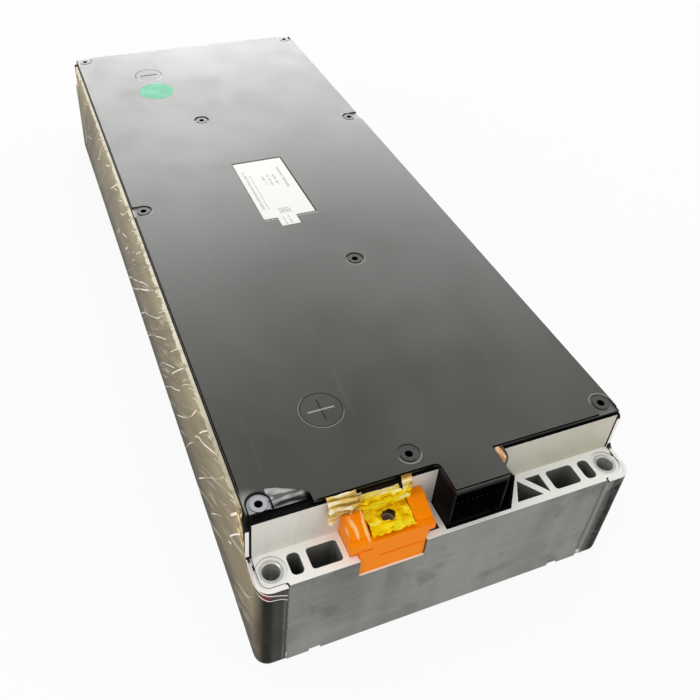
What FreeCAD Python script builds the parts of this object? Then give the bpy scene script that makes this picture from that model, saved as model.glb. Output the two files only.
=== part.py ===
"""Traction battery module: eight prismatic cells in series, clamped between two
extruded end plates and two folded side plates, under a moulded cover.

Frame: origin at the middle of the base, X across the width, Y along the length,
Z up. The connector end faces -Y. All lengths are in millimetres.
"""

import FreeCAD
import Part
import math
import os

Vector = FreeCAD.Vector

# ---------------------------------------------------------------- cell stack
cell_count = 8
cell_thickness = 66.1
cell_width = 219.0
cell_height = 94.0
cell_corner_chamfer = 1.2
cell_base_chamfer = 1.5
cell_pad_thickness = 1.6
cell_pad_inset = 3.0
cell_pad_corner = 0.4
cell_terminal_inset = 36.5
cell_terminal_length = 38.0
cell_terminal_depth = 26.0
cell_terminal_height = 2.5
cell_vent_length = 26.0
cell_vent_depth = 14.0
cell_vent_height = 0.4

# ------------------------------------------------- sheets around the stack
liner_thickness = 0.5
liner_clearance = 0.2
base_sheet_thickness = 0.5
end_insulator_thickness = 1.5
insulator_return_thickness = 1.0
fit_clearance = 0.2

# -------------------------------------------------------------- side plates
side_sheet = 2.0
side_lift = 1.0
side_bottom_flange = 14.0
side_bottom_bend = 4.5
side_top_flange = 5.4
side_top_bend = 3.0
side_shoulder_radius = 6.0
side_foot_radius = 5.0
side_corner_bend = 8.0
side_wrap_base = 4.0
side_wrap_corner_radius = 5.0
flange_stand = 1.2
side_film = 0.3
film_wrap_drop = 6.0
film_wrap_gap = 1.5

# --------------------------------------------------------------- end plates
end_wall = 3.0
end_wall_gap = 0.6
end_box_depth = 20.5
end_box_height = 76.0
end_front_wall = 4.2
end_back_shelf = 4.0
end_rib = 3.2
end_land_inset = 17.0
weld_gap = 0.9
bore_inset_x = 10.7
bore_inset_y = 10.4
sleeve_outer_radius = 6.5
sleeve_bore_radius = 4.7
sleeve_chamfer = 0.5
sleeve_stand = 0.3
spot_face_radius = 8.3
spot_face_depth = 0.6
slot_width = 7.0
slot_corner = 2.7
slot_to_bore = 12.9
window_corner = 2.0
window_rib = 3.9
terminal_pocket_reach = 61.3
terminal_pocket_width = 51.8
connector_pocket_back_width = 54.0
connector_pocket_front_width = 39.8
brace_run = 9.6
brace_thickness = 3.8
base_nick_width = 7.0
base_nick_height = 2.2
base_nick_to_bore = 23.3
edge_groove_length = 3.2
edge_groove_depth = 0.8

# -------------------------------------------------------------------- cover
cover_sheet = 2.0
cover_edge = 0.5
cover_lap = 0.5
cover_skirt = 3.4
cover_inset_x = 2.2
cover_inset_y = 1.0
cover_corner_radius = 4.0
tab_gap = 0.4
tab_width = 33.0
tab_length = 18.2
tab_corner_radius = 1.2
tab_root_radius = 3.0
lobe_radius = 8.5
lobe_wall = 1.0
lobe_drop = 0.7
lobe_inset_x = 3.0
lobe_inset_y = 4.0
rivet_inset_x = 7.5
rivet_inset_y = 7.5
pocket_radius = 6.4
pocket_depth = 1.2
pocket_floor = 1.3
corner_relief_width = 34.0
corner_relief_depth = 3.5
scoop_depth = 2.4
scoop_run = 11.5
scoop_to_rivet = 5.1
scoop_back_length = 6.0
scoop_back_fall = 1.4
scoop_tip_length = 3.0
scoop_tip_depth = 4.4
scoop_mouth_depth = 2.0
label_width = 40.0
label_length = 79.5
label_y = 2.0
label_x = -2.1
label_tab_width = 14.4
label_tab_length = 10.8
label_tab_x = -4.6
label_recess = 0.45
label_thickness = 0.2
label_margin = 0.5
dot_radius = 15.5
dot_thickness = 0.1
dot_inset_x = 59.3
dot_inset_y = 88.0

# ------------------------------------------------------------------- rivets
rivet_head_radius = 4.6
rivet_head_thickness = 0.8
rivet_shank_half = 2.9
rivet_hollow_radius = 2.2
rivet_length = 5.2
rivet_tip = 1.0
side_rivet_shift = 2.0
side_rivet_y = 89.8
bridge_rivet_to_tab = 11.9
bridge_rivet_shift = 3.4
near_rivet_x = 22.7
near_rivet_y = 99.8
far_rivet_x = 25.8
far_rivet_y = 120.8
boss_half = 4.0
window_gap = 1.0

# --------------------------------------------- busbar carrier and conductors
carrier_sheet = 1.6
carrier_wall = 1.6
carrier_rim = 5.1
busbar_thickness = 1.6
busbar_depth = 20.0
busbar_bridge_rise = 1.5
busbar_bridge_width = 9.0
output_width = 24.0
output_thickness = 2.0
output_bend = 2.4
output_stand_off = 1.0
output_tip_gap = 2.2
output_slot_reach = 4.0
output_link_depth = 14.0
pad_margin = 2.0
flex_width = 27.0
flex_thickness = 0.3
flex_fold_radius = 3.6
flex_fold_sink = 1.0
flex_fold_reach = 2.8
flex_finger_width = 6.0
flex_tail_reach = 11.0
flex_slope_start = 2.0
flex_slope_end = 9.6
sensor_size = 4.0
sensor_height = 1.5

# ------------------------------------------------------------ terminal block
terminal_to_pocket = 23.3
nut_shift = 0.8
block_top = 88.0
block_drop = 27.0
block_width = 45.6
block_wing_height = 6.8
block_wing_width = 10.0
block_wing_flat = 4.5
block_wing_front_height = 1.5
block_bar_height = 5.0
block_bar_depth = 3.6
block_bar_overhang = 1.5
block_bar_lift = 1.0
block_bar_inset = 0.8
block_tongue_inset = 0.4
block_slit_inset = 4.0
block_slit_width = 7.0
block_slit_depth = 1.8
block_slit_height = 1.8
block_way_depth = 3.4
block_floor = 3.0
block_line_depth = 0.9
block_line_height = 1.0
block_line_width = 24.8
tongue_width = 37.6
tongue_drop = 13.6
notch_clearance = 0.3
nut_flats = 10.0
nut_height = 6.0
nut_thread_radius = 3.0
terminal_hole_radius = 3.3
cap_film = 0.3
cap_left_reach = 31.0
cap_right_reach = 15.0
cap_narrow_rise = 7.2
cap_middle_drop = 1.0
cap_left_flap = 16.0
cap_right_flap = 7.0
cap_clearance = 0.6
cap_front_inset = 2.0

# ----------------------------------------------------------- sense connector
shroud_width = 33.4
shroud_wall = 1.6
shroud_mouth_depth = 12.0
shroud_base = 52.0
shroud_foot_z = 62.0
shroud_mouth_base = 79.0
shroud_corner = 1.0
mouth_corner = 0.8
key_inset = 4.5
key_width = 2.0
key_depth = 2.0
pin_rows = 2
pins_per_row = 9
pin_size = 0.64
pin_pitch = 3.0
pin_row_pitch = 8.0
pin_length = 7.0

# ------------------------------------------------------------ derived values
stack_length = cell_count * cell_thickness + (cell_count - 1) * cell_pad_thickness
stack_end = stack_length / 2
cavity_half_width = cell_width / 2 + liner_clearance + liner_thickness
side_outer_x = cavity_half_width + side_sheet
module_half_width = side_outer_x + side_film
wall_back_y = stack_end + end_insulator_thickness
wall_face_y = wall_back_y + end_wall
plate_face_y = wall_face_y + end_box_depth
flange_face_y = plate_face_y + flange_stand
module_end_y = flange_face_y + side_film
land_step_y = flange_face_y - side_sheet
cell_terminal_x = cell_width / 2 - cell_terminal_inset
cell_base_z = side_lift + side_sheet + base_sheet_thickness
can_top_z = cell_base_z + cell_height
terminal_top_z = can_top_z + cell_terminal_height
carrier_top_z = can_top_z + carrier_sheet
flange_seat_z = can_top_z + carrier_rim
seat_z = flange_seat_z + side_sheet
end_wall_height = seat_z - end_wall_gap
cover_top_z = seat_z + cover_skirt
cover_under_z = cover_top_z - cover_sheet
cover_half_x = side_outer_x - cover_inset_x
cover_end_y = wall_face_y - cover_inset_y
end_land_half_width = module_half_width - end_land_inset
bore_x = module_half_width - bore_inset_x
bore_y = plate_face_y - bore_inset_y
pocket_front_y = plate_face_y - end_front_wall
pocket_back_y = wall_face_y + end_back_shelf
base_nick_x = bore_x - base_nick_to_bore
slot_x = bore_x - slot_to_bore
window_outer_x = slot_x - slot_width / 2 - window_rib
window_inner_x = terminal_pocket_reach + end_rib
terminal_pocket_left = -terminal_pocket_reach
terminal_pocket_right = terminal_pocket_left + terminal_pocket_width
terminal_x = terminal_pocket_left + terminal_to_pocket
cap_left_x = terminal_x - cap_left_reach
cap_right_x = terminal_x + cap_right_reach
connector_pocket_left = terminal_pocket_right + end_rib
tab_start_x = connector_pocket_left + tab_gap
brace_right_x = window_inner_x - window_rib
connector_front_y = plate_face_y - end_front_wall / 2
tab_right_x = tab_start_x + tab_width
lobe_x = tab_right_x - lobe_inset_x
lobe_y = -cover_end_y - lobe_inset_y
rivet_x = cover_half_x - rivet_inset_x
rivet_y = cover_end_y - rivet_inset_y
dot_x = -cover_half_x + dot_inset_x
dot_y = cover_end_y - dot_inset_y
pocket_floor_z = cover_top_z - pocket_depth
boss_top_z = pocket_floor_z - pocket_floor
cell_pitch = cell_thickness + cell_pad_thickness
output_z = terminal_top_z
cap_narrow_z = block_top + cap_narrow_rise
cap_middle_z = output_z - cap_middle_drop

CONNECTOR_END = -1
PLAIN_END = 1


# ------------------------------------------------------------------- helpers
def block(x0, x1, y0, y1, z0, z1):
    """Box between two corners, given in any order."""
    low = Vector(min(x0, x1), min(y0, y1), min(z0, z1))
    return Part.makeBox(abs(x1 - x0), abs(y1 - y0), abs(z1 - z0), low)


def centred_block(x, y, half_x, half_y, z0, z1):
    """Upright box round a point in plan."""
    return block(x - half_x, x + half_x, y - half_y, y + half_y, z0, z1)


def post(x, y, half, z0, z1):
    """Upright square bar."""
    return centred_block(x, y, half, half, z0, z1)


def rod(radius, x, y, z0, z1):
    """Upright cylinder."""
    return Part.makeCylinder(radius, z1 - z0, Vector(x, y, z0))


def ring(outer, inner, x, y, z0, z1):
    """Upright tube."""
    return rod(outer, x, y, z0, z1).cut(rod(inner, x, y, z0, z1))


def prism(points, direction):
    """Closed outline swept along a vector."""
    wire = Part.makePolygon(list(points) + [points[0]])
    return Part.Face(wire).extrude(direction)


def plan_prism(outline, z0, z1):
    """Outline of (x, y) pairs swept from z0 to z1."""
    points = [Vector(x, y, z0) for x, y in outline]
    return prism(points, Vector(0, 0, z1 - z0))


def round_uprights(solid, radius, keep=lambda x, y: True):
    """Fillet the upright edges whose middle passes the test."""
    edges = []
    for edge in solid.Edges:
        low = edge.Vertexes[0].Point
        high = edge.Vertexes[-1].Point
        upright = math.hypot(high.x - low.x, high.y - low.y) < 1e-6
        if upright and abs(high.z - low.z) > 1e-6 and keep(low.x, low.y):
            edges.append(edge)
    return solid.makeFillet(radius, edges)


def rounded_block(x0, x1, y0, y1, z0, z1, radius):
    """Box with its four upright edges rounded."""
    return round_uprights(block(x0, x1, y0, y1, z0, z1), radius)


def fused(solids):
    """One clean shape from several."""
    if len(solids) == 1:
        return solids[0]
    return solids[0].fuse(solids[1:]).removeSplitter()


def cut_all(solid, tools):
    """Solid less every tool."""
    return solid.cut(tools).removeSplitter()


def at_end(shape, end):
    """Shape modelled at the -Y end, or its mirror image at the +Y end."""
    if end == CONNECTOR_END:
        return shape
    return shape.mirror(Vector(0, 0, 0), Vector(0, 1, 0))


def at_side(shape, side):
    """Shape modelled at +X, or its mirror image at -X."""
    if side > 0:
        return shape
    return shape.mirror(Vector(0, 0, 0), Vector(1, 0, 0))


def bent_strip(centre_line, thickness, bend, x0, x1):
    """Strip folded in the YZ plane along (y, z) points, with rounded bends."""
    left = offset_path(centre_line, thickness / 2)
    right = offset_path(centre_line, -thickness / 2)
    outline = [Vector(x0, y, z) for y, z in left + right[::-1]]
    strip = prism(outline, Vector(x1 - x0, 0, 0))
    for index in range(1, len(centre_line) - 1):
        strip = round_bend(strip, left[index], right[index], centre_line, index, thickness, bend)
    return strip


def offset_path(points, distance):
    """Points of an open path moved sideways, mitred at each corner."""
    moved = []
    for index, (y, z) in enumerate(points):
        normals = []
        if index > 0:
            normals.append(side_normal(points[index - 1], points[index]))
        if index < len(points) - 1:
            normals.append(side_normal(points[index], points[index + 1]))
        ny = sum(n[0] for n in normals)
        nz = sum(n[1] for n in normals)
        scale = distance * len(normals) / (ny * ny + nz * nz)
        moved.append((y + ny * scale, z + nz * scale))
    return moved


def side_normal(start, end):
    """Unit normal to the left of a (y, z) segment."""
    dy = end[0] - start[0]
    dz = end[1] - start[1]
    length = math.hypot(dy, dz)
    return (-dz / length, dy / length)


def round_bend(strip, left, right, path, index, thickness, bend):
    """Fillet the inside and outside edges of one bend of a strip."""
    before = side_normal(path[index - 1], path[index])
    after = side_normal(path[index], path[index + 1])
    turns_left = before[0] * after[1] - before[1] * after[0] > 0
    inner = left if turns_left else right
    outer = right if turns_left else left
    for corner, radius in ((inner, bend - thickness), (outer, bend)):
        edges = [e for e in strip.Edges if lies_on(e, corner)]
        strip = strip.makeFillet(radius, edges)
    return strip


def lies_on(edge, corner):
    """True for an edge along X through a (y, z) corner."""
    return all(math.hypot(v.Y - corner[0], v.Z - corner[1]) < 1e-4 for v in edge.Vertexes)


# ----------------------------------------------------------------- the cells
def cell_y(number):
    """Middle of a cell, numbered from 1 at the connector end."""
    return -stack_end + cell_thickness / 2 + (number - 1) * cell_pitch


def terminal_side(number):
    """Side, +1 or -1 in X, on which a cell meets the next one."""
    return 1 if number % 2 else -1


def cell_terminal(x, y):
    """Raised terminal pad of a cell."""
    return centred_block(x, y, cell_terminal_length / 2, cell_terminal_depth / 2,
                         can_top_z, terminal_top_z)


def make_cell(number):
    """Sealed can with chamfered corners, two terminal pads and a vent."""
    y = cell_y(number)
    can = block(
        -cell_width / 2, cell_width / 2,
        y - cell_thickness / 2, y + cell_thickness / 2,
        cell_base_z, can_top_z)
    corners = [e for e in can.Edges if e.BoundBox.ZLength > cell_height / 2]
    can = can.makeChamfer(cell_corner_chamfer, corners)
    base_edges = [e for e in can.Edges if e.BoundBox.ZMax < cell_base_z + 1e-6]
    can = can.makeChamfer(cell_base_chamfer, base_edges)
    pads = [cell_terminal(side * cell_terminal_x, y) for side in (1, -1)]
    vent = centred_block(0, y, cell_vent_length / 2, cell_vent_depth / 2,
                         can_top_z, can_top_z + cell_vent_height)
    return fused([can] + pads + [vent])


def make_cell_pad(number):
    """Compression pad between one cell and the next."""
    y = cell_y(number) + cell_thickness / 2
    half = cell_width / 2 - cell_pad_inset
    return rounded_block(
        -half, half, y, y + cell_pad_thickness,
        cell_base_z + cell_pad_inset, can_top_z - cell_pad_inset, cell_pad_corner)


# ---------------------------------------------------- sheets round the stack
def make_base_sheet():
    """Insulating sheet under the cells, on the side plates' lower flanges."""
    half = cavity_half_width - (side_bottom_bend - side_sheet) - fit_clearance
    return block(
        -half, half, -stack_end, stack_end,
        cell_base_z - base_sheet_thickness, cell_base_z)


def make_side_liner(side):
    """Insulating sheet between the cells and a side plate."""
    low = side_lift + side_bottom_bend
    sheet = block(
        cavity_half_width - liner_thickness, cavity_half_width,
        -stack_end, stack_end, low, can_top_z)
    return at_side(sheet, side)


def output_slot(clearance):
    """Way through an end wall for the output busbar."""
    half = output_width / 2 + clearance
    return block(
        terminal_x - half, terminal_x + half,
        -stack_end + output_slot_reach, -wall_face_y - output_slot_reach,
        output_z - clearance, cover_under_z)


def make_end_insulator(end):
    """Sheet behind an end wall, with a lip over it and returns at its ends."""
    half = cavity_half_width - fit_clearance
    low = side_lift + side_bottom_bend
    sheet = block(-half, half, -stack_end, -wall_back_y, low, seat_z)
    lip = block(-half, half, -wall_back_y, -wall_face_y + fit_clearance,
                end_wall_height, seat_z)
    returns = [
        block(side * half, side * (half - insulator_return_thickness),
              -wall_back_y, -wall_face_y + fit_clearance, low, seat_z)
        for side in (1, -1)]
    body = fused([sheet, lip] + returns)
    bend_x = side_outer_x - side_top_bend - fit_clearance
    flange_x = side_outer_x - side_top_flange - fit_clearance
    for side in (1, -1):
        for x, z in ((bend_x, seat_z - side_top_bend), (flange_x, flange_seat_z)):
            body = body.cut(block(
                side * x, side * (half + 1), -stack_end + 1, -wall_back_y - fit_clearance,
                z - fit_clearance, seat_z + 1))
    return at_end(body.cut(output_slot(2 * fit_clearance)).removeSplitter(), end)


# --------------------------------------------------------------- side plates
def side_section():
    """Section of a side plate across its length, as a face at y = 0."""
    x_out = side_outer_x
    x_in = side_outer_x - side_sheet
    low_out = side_lift
    low_in = side_lift + side_sheet
    tip_low = side_outer_x - side_bottom_flange
    tip_top = side_outer_x - side_top_flange
    big = side_bottom_bend
    top = side_top_bend
    inner_big = big - side_sheet
    inner_top = top - side_sheet

    def p(x, z):
        return Vector(x, 0, z)

    def bend(cx, cz, radius, start, stop):
        middle = math.radians((start + stop) / 2)
        first = math.radians(start)
        last = math.radians(stop)
        ends = [p(cx + radius * math.cos(a), cz + radius * math.sin(a))
                for a in (first, middle, last)]
        return Part.Arc(*ends).toShape()

    def line(a, b):
        return Part.makeLine(a, b)

    edges = [
        line(p(tip_low, low_out), p(x_out - big, low_out)),
        bend(x_out - big, low_out + big, big, -90, 0),
        line(p(x_out, low_out + big), p(x_out, seat_z - top)),
        bend(x_out - top, seat_z - top, top, 0, 90),
        line(p(x_out - top, seat_z), p(tip_top, seat_z)),
        line(p(tip_top, seat_z), p(tip_top, flange_seat_z)),
        line(p(tip_top, flange_seat_z), p(x_in - inner_top, flange_seat_z)),
        bend(x_in - inner_top, flange_seat_z - inner_top, inner_top, 90, 0),
        line(p(x_in, flange_seat_z - inner_top), p(x_in, low_in + inner_big)),
        bend(x_in - inner_big, low_in + inner_big, inner_big, 0, -90),
        line(p(x_in - inner_big, low_in), p(tip_low, low_in)),
        line(p(tip_low, low_in), p(tip_low, low_out)),
    ]
    return Part.Face(Part.Wire(edges))


def wrap_section(outer_x, outer_y, radius, thickness, start_y, tip_x, z):
    """Plan of the strip that turns a corner, as a face at height z."""
    inner = radius - thickness
    cx = outer_x - radius
    cy = -outer_y + radius

    def p(x, y):
        return Vector(x, y, z)

    def turn(r, start, stop):
        angles = [math.radians(a) for a in (start, (start + stop) / 2, stop)]
        return Part.Arc(*[p(cx + r * math.cos(a), cy + r * math.sin(a)) for a in angles]).toShape()

    edges = [
        Part.makeLine(p(outer_x, start_y), p(outer_x, cy)),
        turn(radius, 0, -90),
        Part.makeLine(p(cx, -outer_y), p(tip_x, -outer_y)),
        Part.makeLine(p(tip_x, -outer_y), p(tip_x, -outer_y + thickness)),
        Part.makeLine(p(tip_x, -outer_y + thickness), p(cx, -outer_y + thickness)),
        turn(inner, -90, 0),
        Part.makeLine(p(outer_x - thickness, cy), p(outer_x - thickness, start_y)),
        Part.makeLine(p(outer_x - thickness, start_y), p(outer_x, start_y)),
    ]
    return Part.Face(Part.Wire(edges))


def round_corner_tool(y, z, radius, toward_y, toward_z, x0, x1):
    """Tool that leaves a quarter round of this radius at a corner."""
    square = block(x0, x1, y, y + toward_y * radius, z, z + toward_z * radius)
    core = Part.makeCylinder(
        radius, abs(x1 - x0), Vector(min(x0, x1), y + toward_y * radius, z + toward_z * radius),
        Vector(1, 0, 0))
    return square.cut(core)


def make_side_plate(side):
    """Folded plate: a C section whose ends step down and turn round the corners."""
    section = side_section()
    section.translate(Vector(0, -wall_face_y, 0))
    body = section.extrude(Vector(0, 2 * wall_face_y, 0))
    wraps = []
    tools = []
    x0 = side_outer_x - side_bottom_flange - 1
    x1 = side_outer_x + 1
    web_in = side_outer_x - side_sheet
    for end in (CONNECTOR_END, PLAIN_END):
        face = wrap_section(
            side_outer_x, flange_face_y, side_corner_bend, side_sheet,
            -wall_face_y, end_land_half_width + weld_gap, side_wrap_base)
        strip = face.extrude(Vector(0, 0, end_box_height - side_wrap_base))
        foot = round_corner_tool(
            -wall_face_y, end_box_height, side_foot_radius, -1, 1, web_in, side_outer_x)
        wraps.append(at_end(fused([strip, foot]), end))
        tools.append(at_end(round_corner_tool(
            -wall_face_y, seat_z, side_shoulder_radius, 1, -1, x0, x1), end))
        tools.append(at_end(round_corner_tool(
            -wall_face_y, side_lift, side_wrap_corner_radius, 1, 1, x0, x1), end))
        tools.append(at_end(block(
            x0, web_in, -wall_back_y, -wall_face_y - 1, 0, cover_top_z), end))
    body = cut_all(body, tools)
    return at_side(fused([body] + wraps), side)


def make_side_film(side):
    """Thin protective film on a side plate, turned round both corners."""
    low = side_lift + side_bottom_bend
    high = seat_z - side_top_bend
    reach = wall_face_y - side_shoulder_radius
    sheet = block(side_outer_x, module_half_width, -reach, reach, low, high)
    wraps = []
    for end in (CONNECTOR_END, PLAIN_END):
        face = wrap_section(
            module_half_width, module_end_y, side_corner_bend + side_film, side_film,
            -reach, end_land_half_width + weld_gap + film_wrap_gap, low)
        strip = face.extrude(Vector(0, 0, end_box_height - film_wrap_drop - low))
        wraps.append(at_end(strip, end))
    return at_side(fused([sheet] + wraps), side)


# ---------------------------------------------------------------- end plates
def pocket(outline):
    """Through pocket of the extrusion, from its (x, y) outline."""
    return plan_prism([(x, -y) for x, y in outline], -1, end_wall_height + 1)


def brace_pockets():
    """Two triangular pockets either side of a slanting brace."""
    front = pocket_front_y
    back = pocket_back_y
    right = brace_right_x
    slope = math.hypot(brace_run, front - back) / (front - back)
    apex = right - brace_run - brace_thickness * slope
    second = [(right - brace_run, back), (right, back), (right, front)]
    first = [
        (apex, back), (connector_side_x(front) + end_rib * slope, front),
        (apex + brace_run, front)]
    return [pocket(first), pocket(second)]


def connector_side_x(y):
    """Slanting side of the connector pocket at a distance y from the middle."""
    back_x = connector_pocket_left + connector_pocket_back_width
    front_x = connector_pocket_left + connector_pocket_front_width
    share = (y - wall_face_y) / (connector_front_y - wall_face_y)
    return back_x + (front_x - back_x) * share


def connector_outline(gap):
    """Plan of the connector pocket, drawn in by a gap on every side."""
    left = connector_pocket_left + gap
    back = wall_face_y + gap
    front = connector_front_y - gap
    lean = connector_side_x(wall_face_y) - connector_side_x(connector_front_y)
    run = connector_front_y - wall_face_y
    side_gap = gap * math.hypot(lean, run) / run
    return [(left, back), (connector_side_x(back) - side_gap, back),
            (connector_side_x(front) - side_gap, front), (left, front)]


def terminal_pocket():
    """Pocket that holds a terminal block."""
    return block(
        terminal_pocket_left, terminal_pocket_right, -pocket_front_y,
        -wall_face_y, -1, end_wall_height + 1)


def connector_pocket():
    """Pocket with one slanting side, for the sense connector."""
    return pocket(connector_outline(0))


def make_end_plate(end):
    """Extrusion standing on end: thin back wall, pocketed box, corner bosses."""
    half = cavity_half_width - fit_clearance
    wall_half = half - insulator_return_thickness - fit_clearance
    wall = block(-wall_half, wall_half, -wall_back_y, -wall_face_y, 0, end_wall_height)
    box = block(-half, half, -wall_face_y, -land_step_y, 0, end_box_height)
    box = round_uprights(box, side_corner_bend - side_sheet, lambda x, y: y < -wall_face_y - 1)
    land = block(-end_land_half_width, end_land_half_width, -land_step_y, -plate_face_y,
                 0, end_box_height)
    body = fused([wall, box, land])
    tools = [terminal_pocket(), connector_pocket()] + brace_pockets()
    for side in (1, -1):
        tools.append(rod(sleeve_outer_radius, side * bore_x, -bore_y, -1, end_box_height + 1))
        tools.append(rod(spot_face_radius, side * bore_x, -bore_y,
                         end_box_height - spot_face_depth, end_box_height + 1))
        tools.append(rod(weld_gap, side * (end_land_half_width + weld_gap), -land_step_y,
                         -1, end_box_height + 1))
        tools.append(block(
            side * (half - edge_groove_depth), side * (half + 1),
            -pocket_back_y, -pocket_back_y - edge_groove_length, -1, end_box_height + 1))
        slot_half = slot_width / 2
        tools.append(rounded_block(
            side * slot_x - slot_half, side * slot_x + slot_half,
            -pocket_front_y, -pocket_back_y, -1, end_box_height + 1, slot_corner))
        tools.append(rounded_block(
            side * window_inner_x, side * window_outer_x,
            -pocket_front_y, -pocket_back_y, -1, end_box_height + 1, window_corner))
        tools.append(block(
            side * base_nick_x - base_nick_width / 2, side * base_nick_x + base_nick_width / 2,
            -pocket_front_y, -plate_face_y - 1, -1, base_nick_height))
    tongue_half = tongue_width / 2 + notch_clearance
    tools.append(block(
        terminal_x - tongue_half, terminal_x + tongue_half,
        -pocket_front_y + 1, -plate_face_y - 1,
        end_box_height - tongue_drop, end_box_height + 1))
    tools.append(output_slot(fit_clearance))
    return at_end(cut_all(body, tools), end)


def make_mounting_sleeves():
    """Four steel sleeves pressed into the corner bores."""
    top = end_box_height - spot_face_depth + sleeve_stand
    sleeves = []
    for end in (CONNECTOR_END, PLAIN_END):
        for side in (1, -1):
            x = side * bore_x
            tube = ring(sleeve_outer_radius, sleeve_bore_radius, x, -bore_y, 0, top)
            mouth = [e for e in tube.Edges
                     if e.BoundBox.ZMin > top - 1e-6
                     and e.BoundBox.XLength < 2 * sleeve_bore_radius + 0.1]
            sleeves.append(at_end(tube.makeChamfer(sleeve_chamfer, mouth), end))
    return Part.makeCompound(sleeves)


# --------------------------------------------------------------------- cover
def rivet_pockets():
    """Middle of each cover rivet and the way its pocket opens, in x and y."""
    corners = [
        (side * rivet_x, end * rivet_y, 0, end)
        for end in (CONNECTOR_END, PLAIN_END) for side in (-1, 1)]
    edges = [(-rivet_x, 0.0, -1, 0), (rivet_x - side_rivet_shift, side_rivet_y, 1, 0)]
    middle = [
        (tab_start_x - bridge_rivet_to_tab, -rivet_y + bridge_rivet_shift, 0, 0),
        (near_rivet_x, -near_rivet_y, 0, 0), (-far_rivet_x, far_rivet_y, 0, 0)]
    return corners + edges + middle


def rivet_places():
    """Middle of each cover rivet."""
    return [(x, y) for x, y, open_x, open_y in rivet_pockets()]


def rivet_pocket(x, y, open_x, open_y):
    """Shallow round pocket round a rivet, run out to an edge where it is near one."""
    low = pocket_floor_z
    high = cover_top_z + 1
    tool = rod(pocket_radius, x, y, low, high)
    reach = pocket_radius + rivet_inset_y + 3
    if open_x:
        run = block(x, x + open_x * reach, y - pocket_radius, y + pocket_radius, low, high)
        tool = fused([tool, run])
    if open_y:
        run = block(x - pocket_radius, x + pocket_radius, y, y + open_y * reach, low, high)
        tool = fused([tool, run])
    return tool


def label_area(margin, z0, z1):
    """Outline of the label with its lower tab, grown by a margin."""
    x0 = label_x - label_width / 2 - margin
    x1 = label_x + label_width / 2 + margin
    y0 = label_y - label_length / 2 - margin
    y1 = label_y + label_length / 2 + margin
    main = block(x0, x1, y0, y1, z0, z1)
    tab_half = label_tab_width / 2 + margin
    tab = block(label_tab_x - tab_half, label_tab_x + tab_half,
                y0 - label_tab_length, y0 + 1, z0, z1)
    return fused([main, tab])


def corner_scoop():
    """Sloping hollow beside the rivet pad of the relieved corner."""
    edge_y = -(cover_end_y - corner_relief_depth)
    start_x = -rivet_x + scoop_to_rivet
    end_x = -cover_half_x + corner_relief_width
    back_y = edge_y + scoop_run
    outline = [
        (start_x, edge_y - 1), (start_x, back_y),
        (start_x + scoop_back_length, back_y - scoop_back_fall),
        (end_x - scoop_tip_length, edge_y + scoop_tip_depth),
        (end_x, edge_y + scoop_mouth_depth), (end_x, edge_y - 1)]
    hollow = plan_prism(outline, cover_top_z - scoop_depth, cover_top_z + 1)
    slope_run = back_y - edge_y
    ramp = prism([
        Vector(start_x - 1, back_y, cover_top_z),
        Vector(start_x - 1, edge_y, cover_top_z - scoop_depth),
        Vector(start_x - 1, edge_y - 3, cover_top_z - scoop_depth),
        Vector(start_x - 1, edge_y - 3, cover_top_z - scoop_depth - slope_run),
        Vector(start_x - 1, back_y, cover_top_z - scoop_depth - slope_run),
    ], Vector(end_x - start_x + 2, 0, 0))
    return hollow.cut(ramp)


def tab_block(z0, z1, inset):
    """Bridge of the cover out over the sense connector."""
    return block(
        tab_start_x + inset, tab_start_x + tab_width - inset,
        -cover_end_y + 3 * cover_sheet, -cover_end_y - tab_length + inset, z0, z1)


def tab_root(x, side):
    """Fillet in the corner between the plate's edge and the bridge."""
    y = -cover_end_y
    square = block(x - 0.5 * side, x + side * tab_root_radius, y + 0.5, y - tab_root_radius,
                   seat_z, cover_top_z)
    return square.cut(rod(tab_root_radius, x + side * tab_root_radius, y - tab_root_radius,
                          seat_z - 1, cover_top_z + 1))


def lobe_well(z0, z1, wall, from_x):
    """Open inside of the lobe at the root of the bridge, beyond a given x."""
    disc = rod(lobe_radius - wall, lobe_x, lobe_y, z0, z1)
    side = block(from_x, lobe_x + lobe_radius, -cover_end_y, lobe_y - lobe_radius, z0, z1)
    return disc.common(side)


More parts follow.
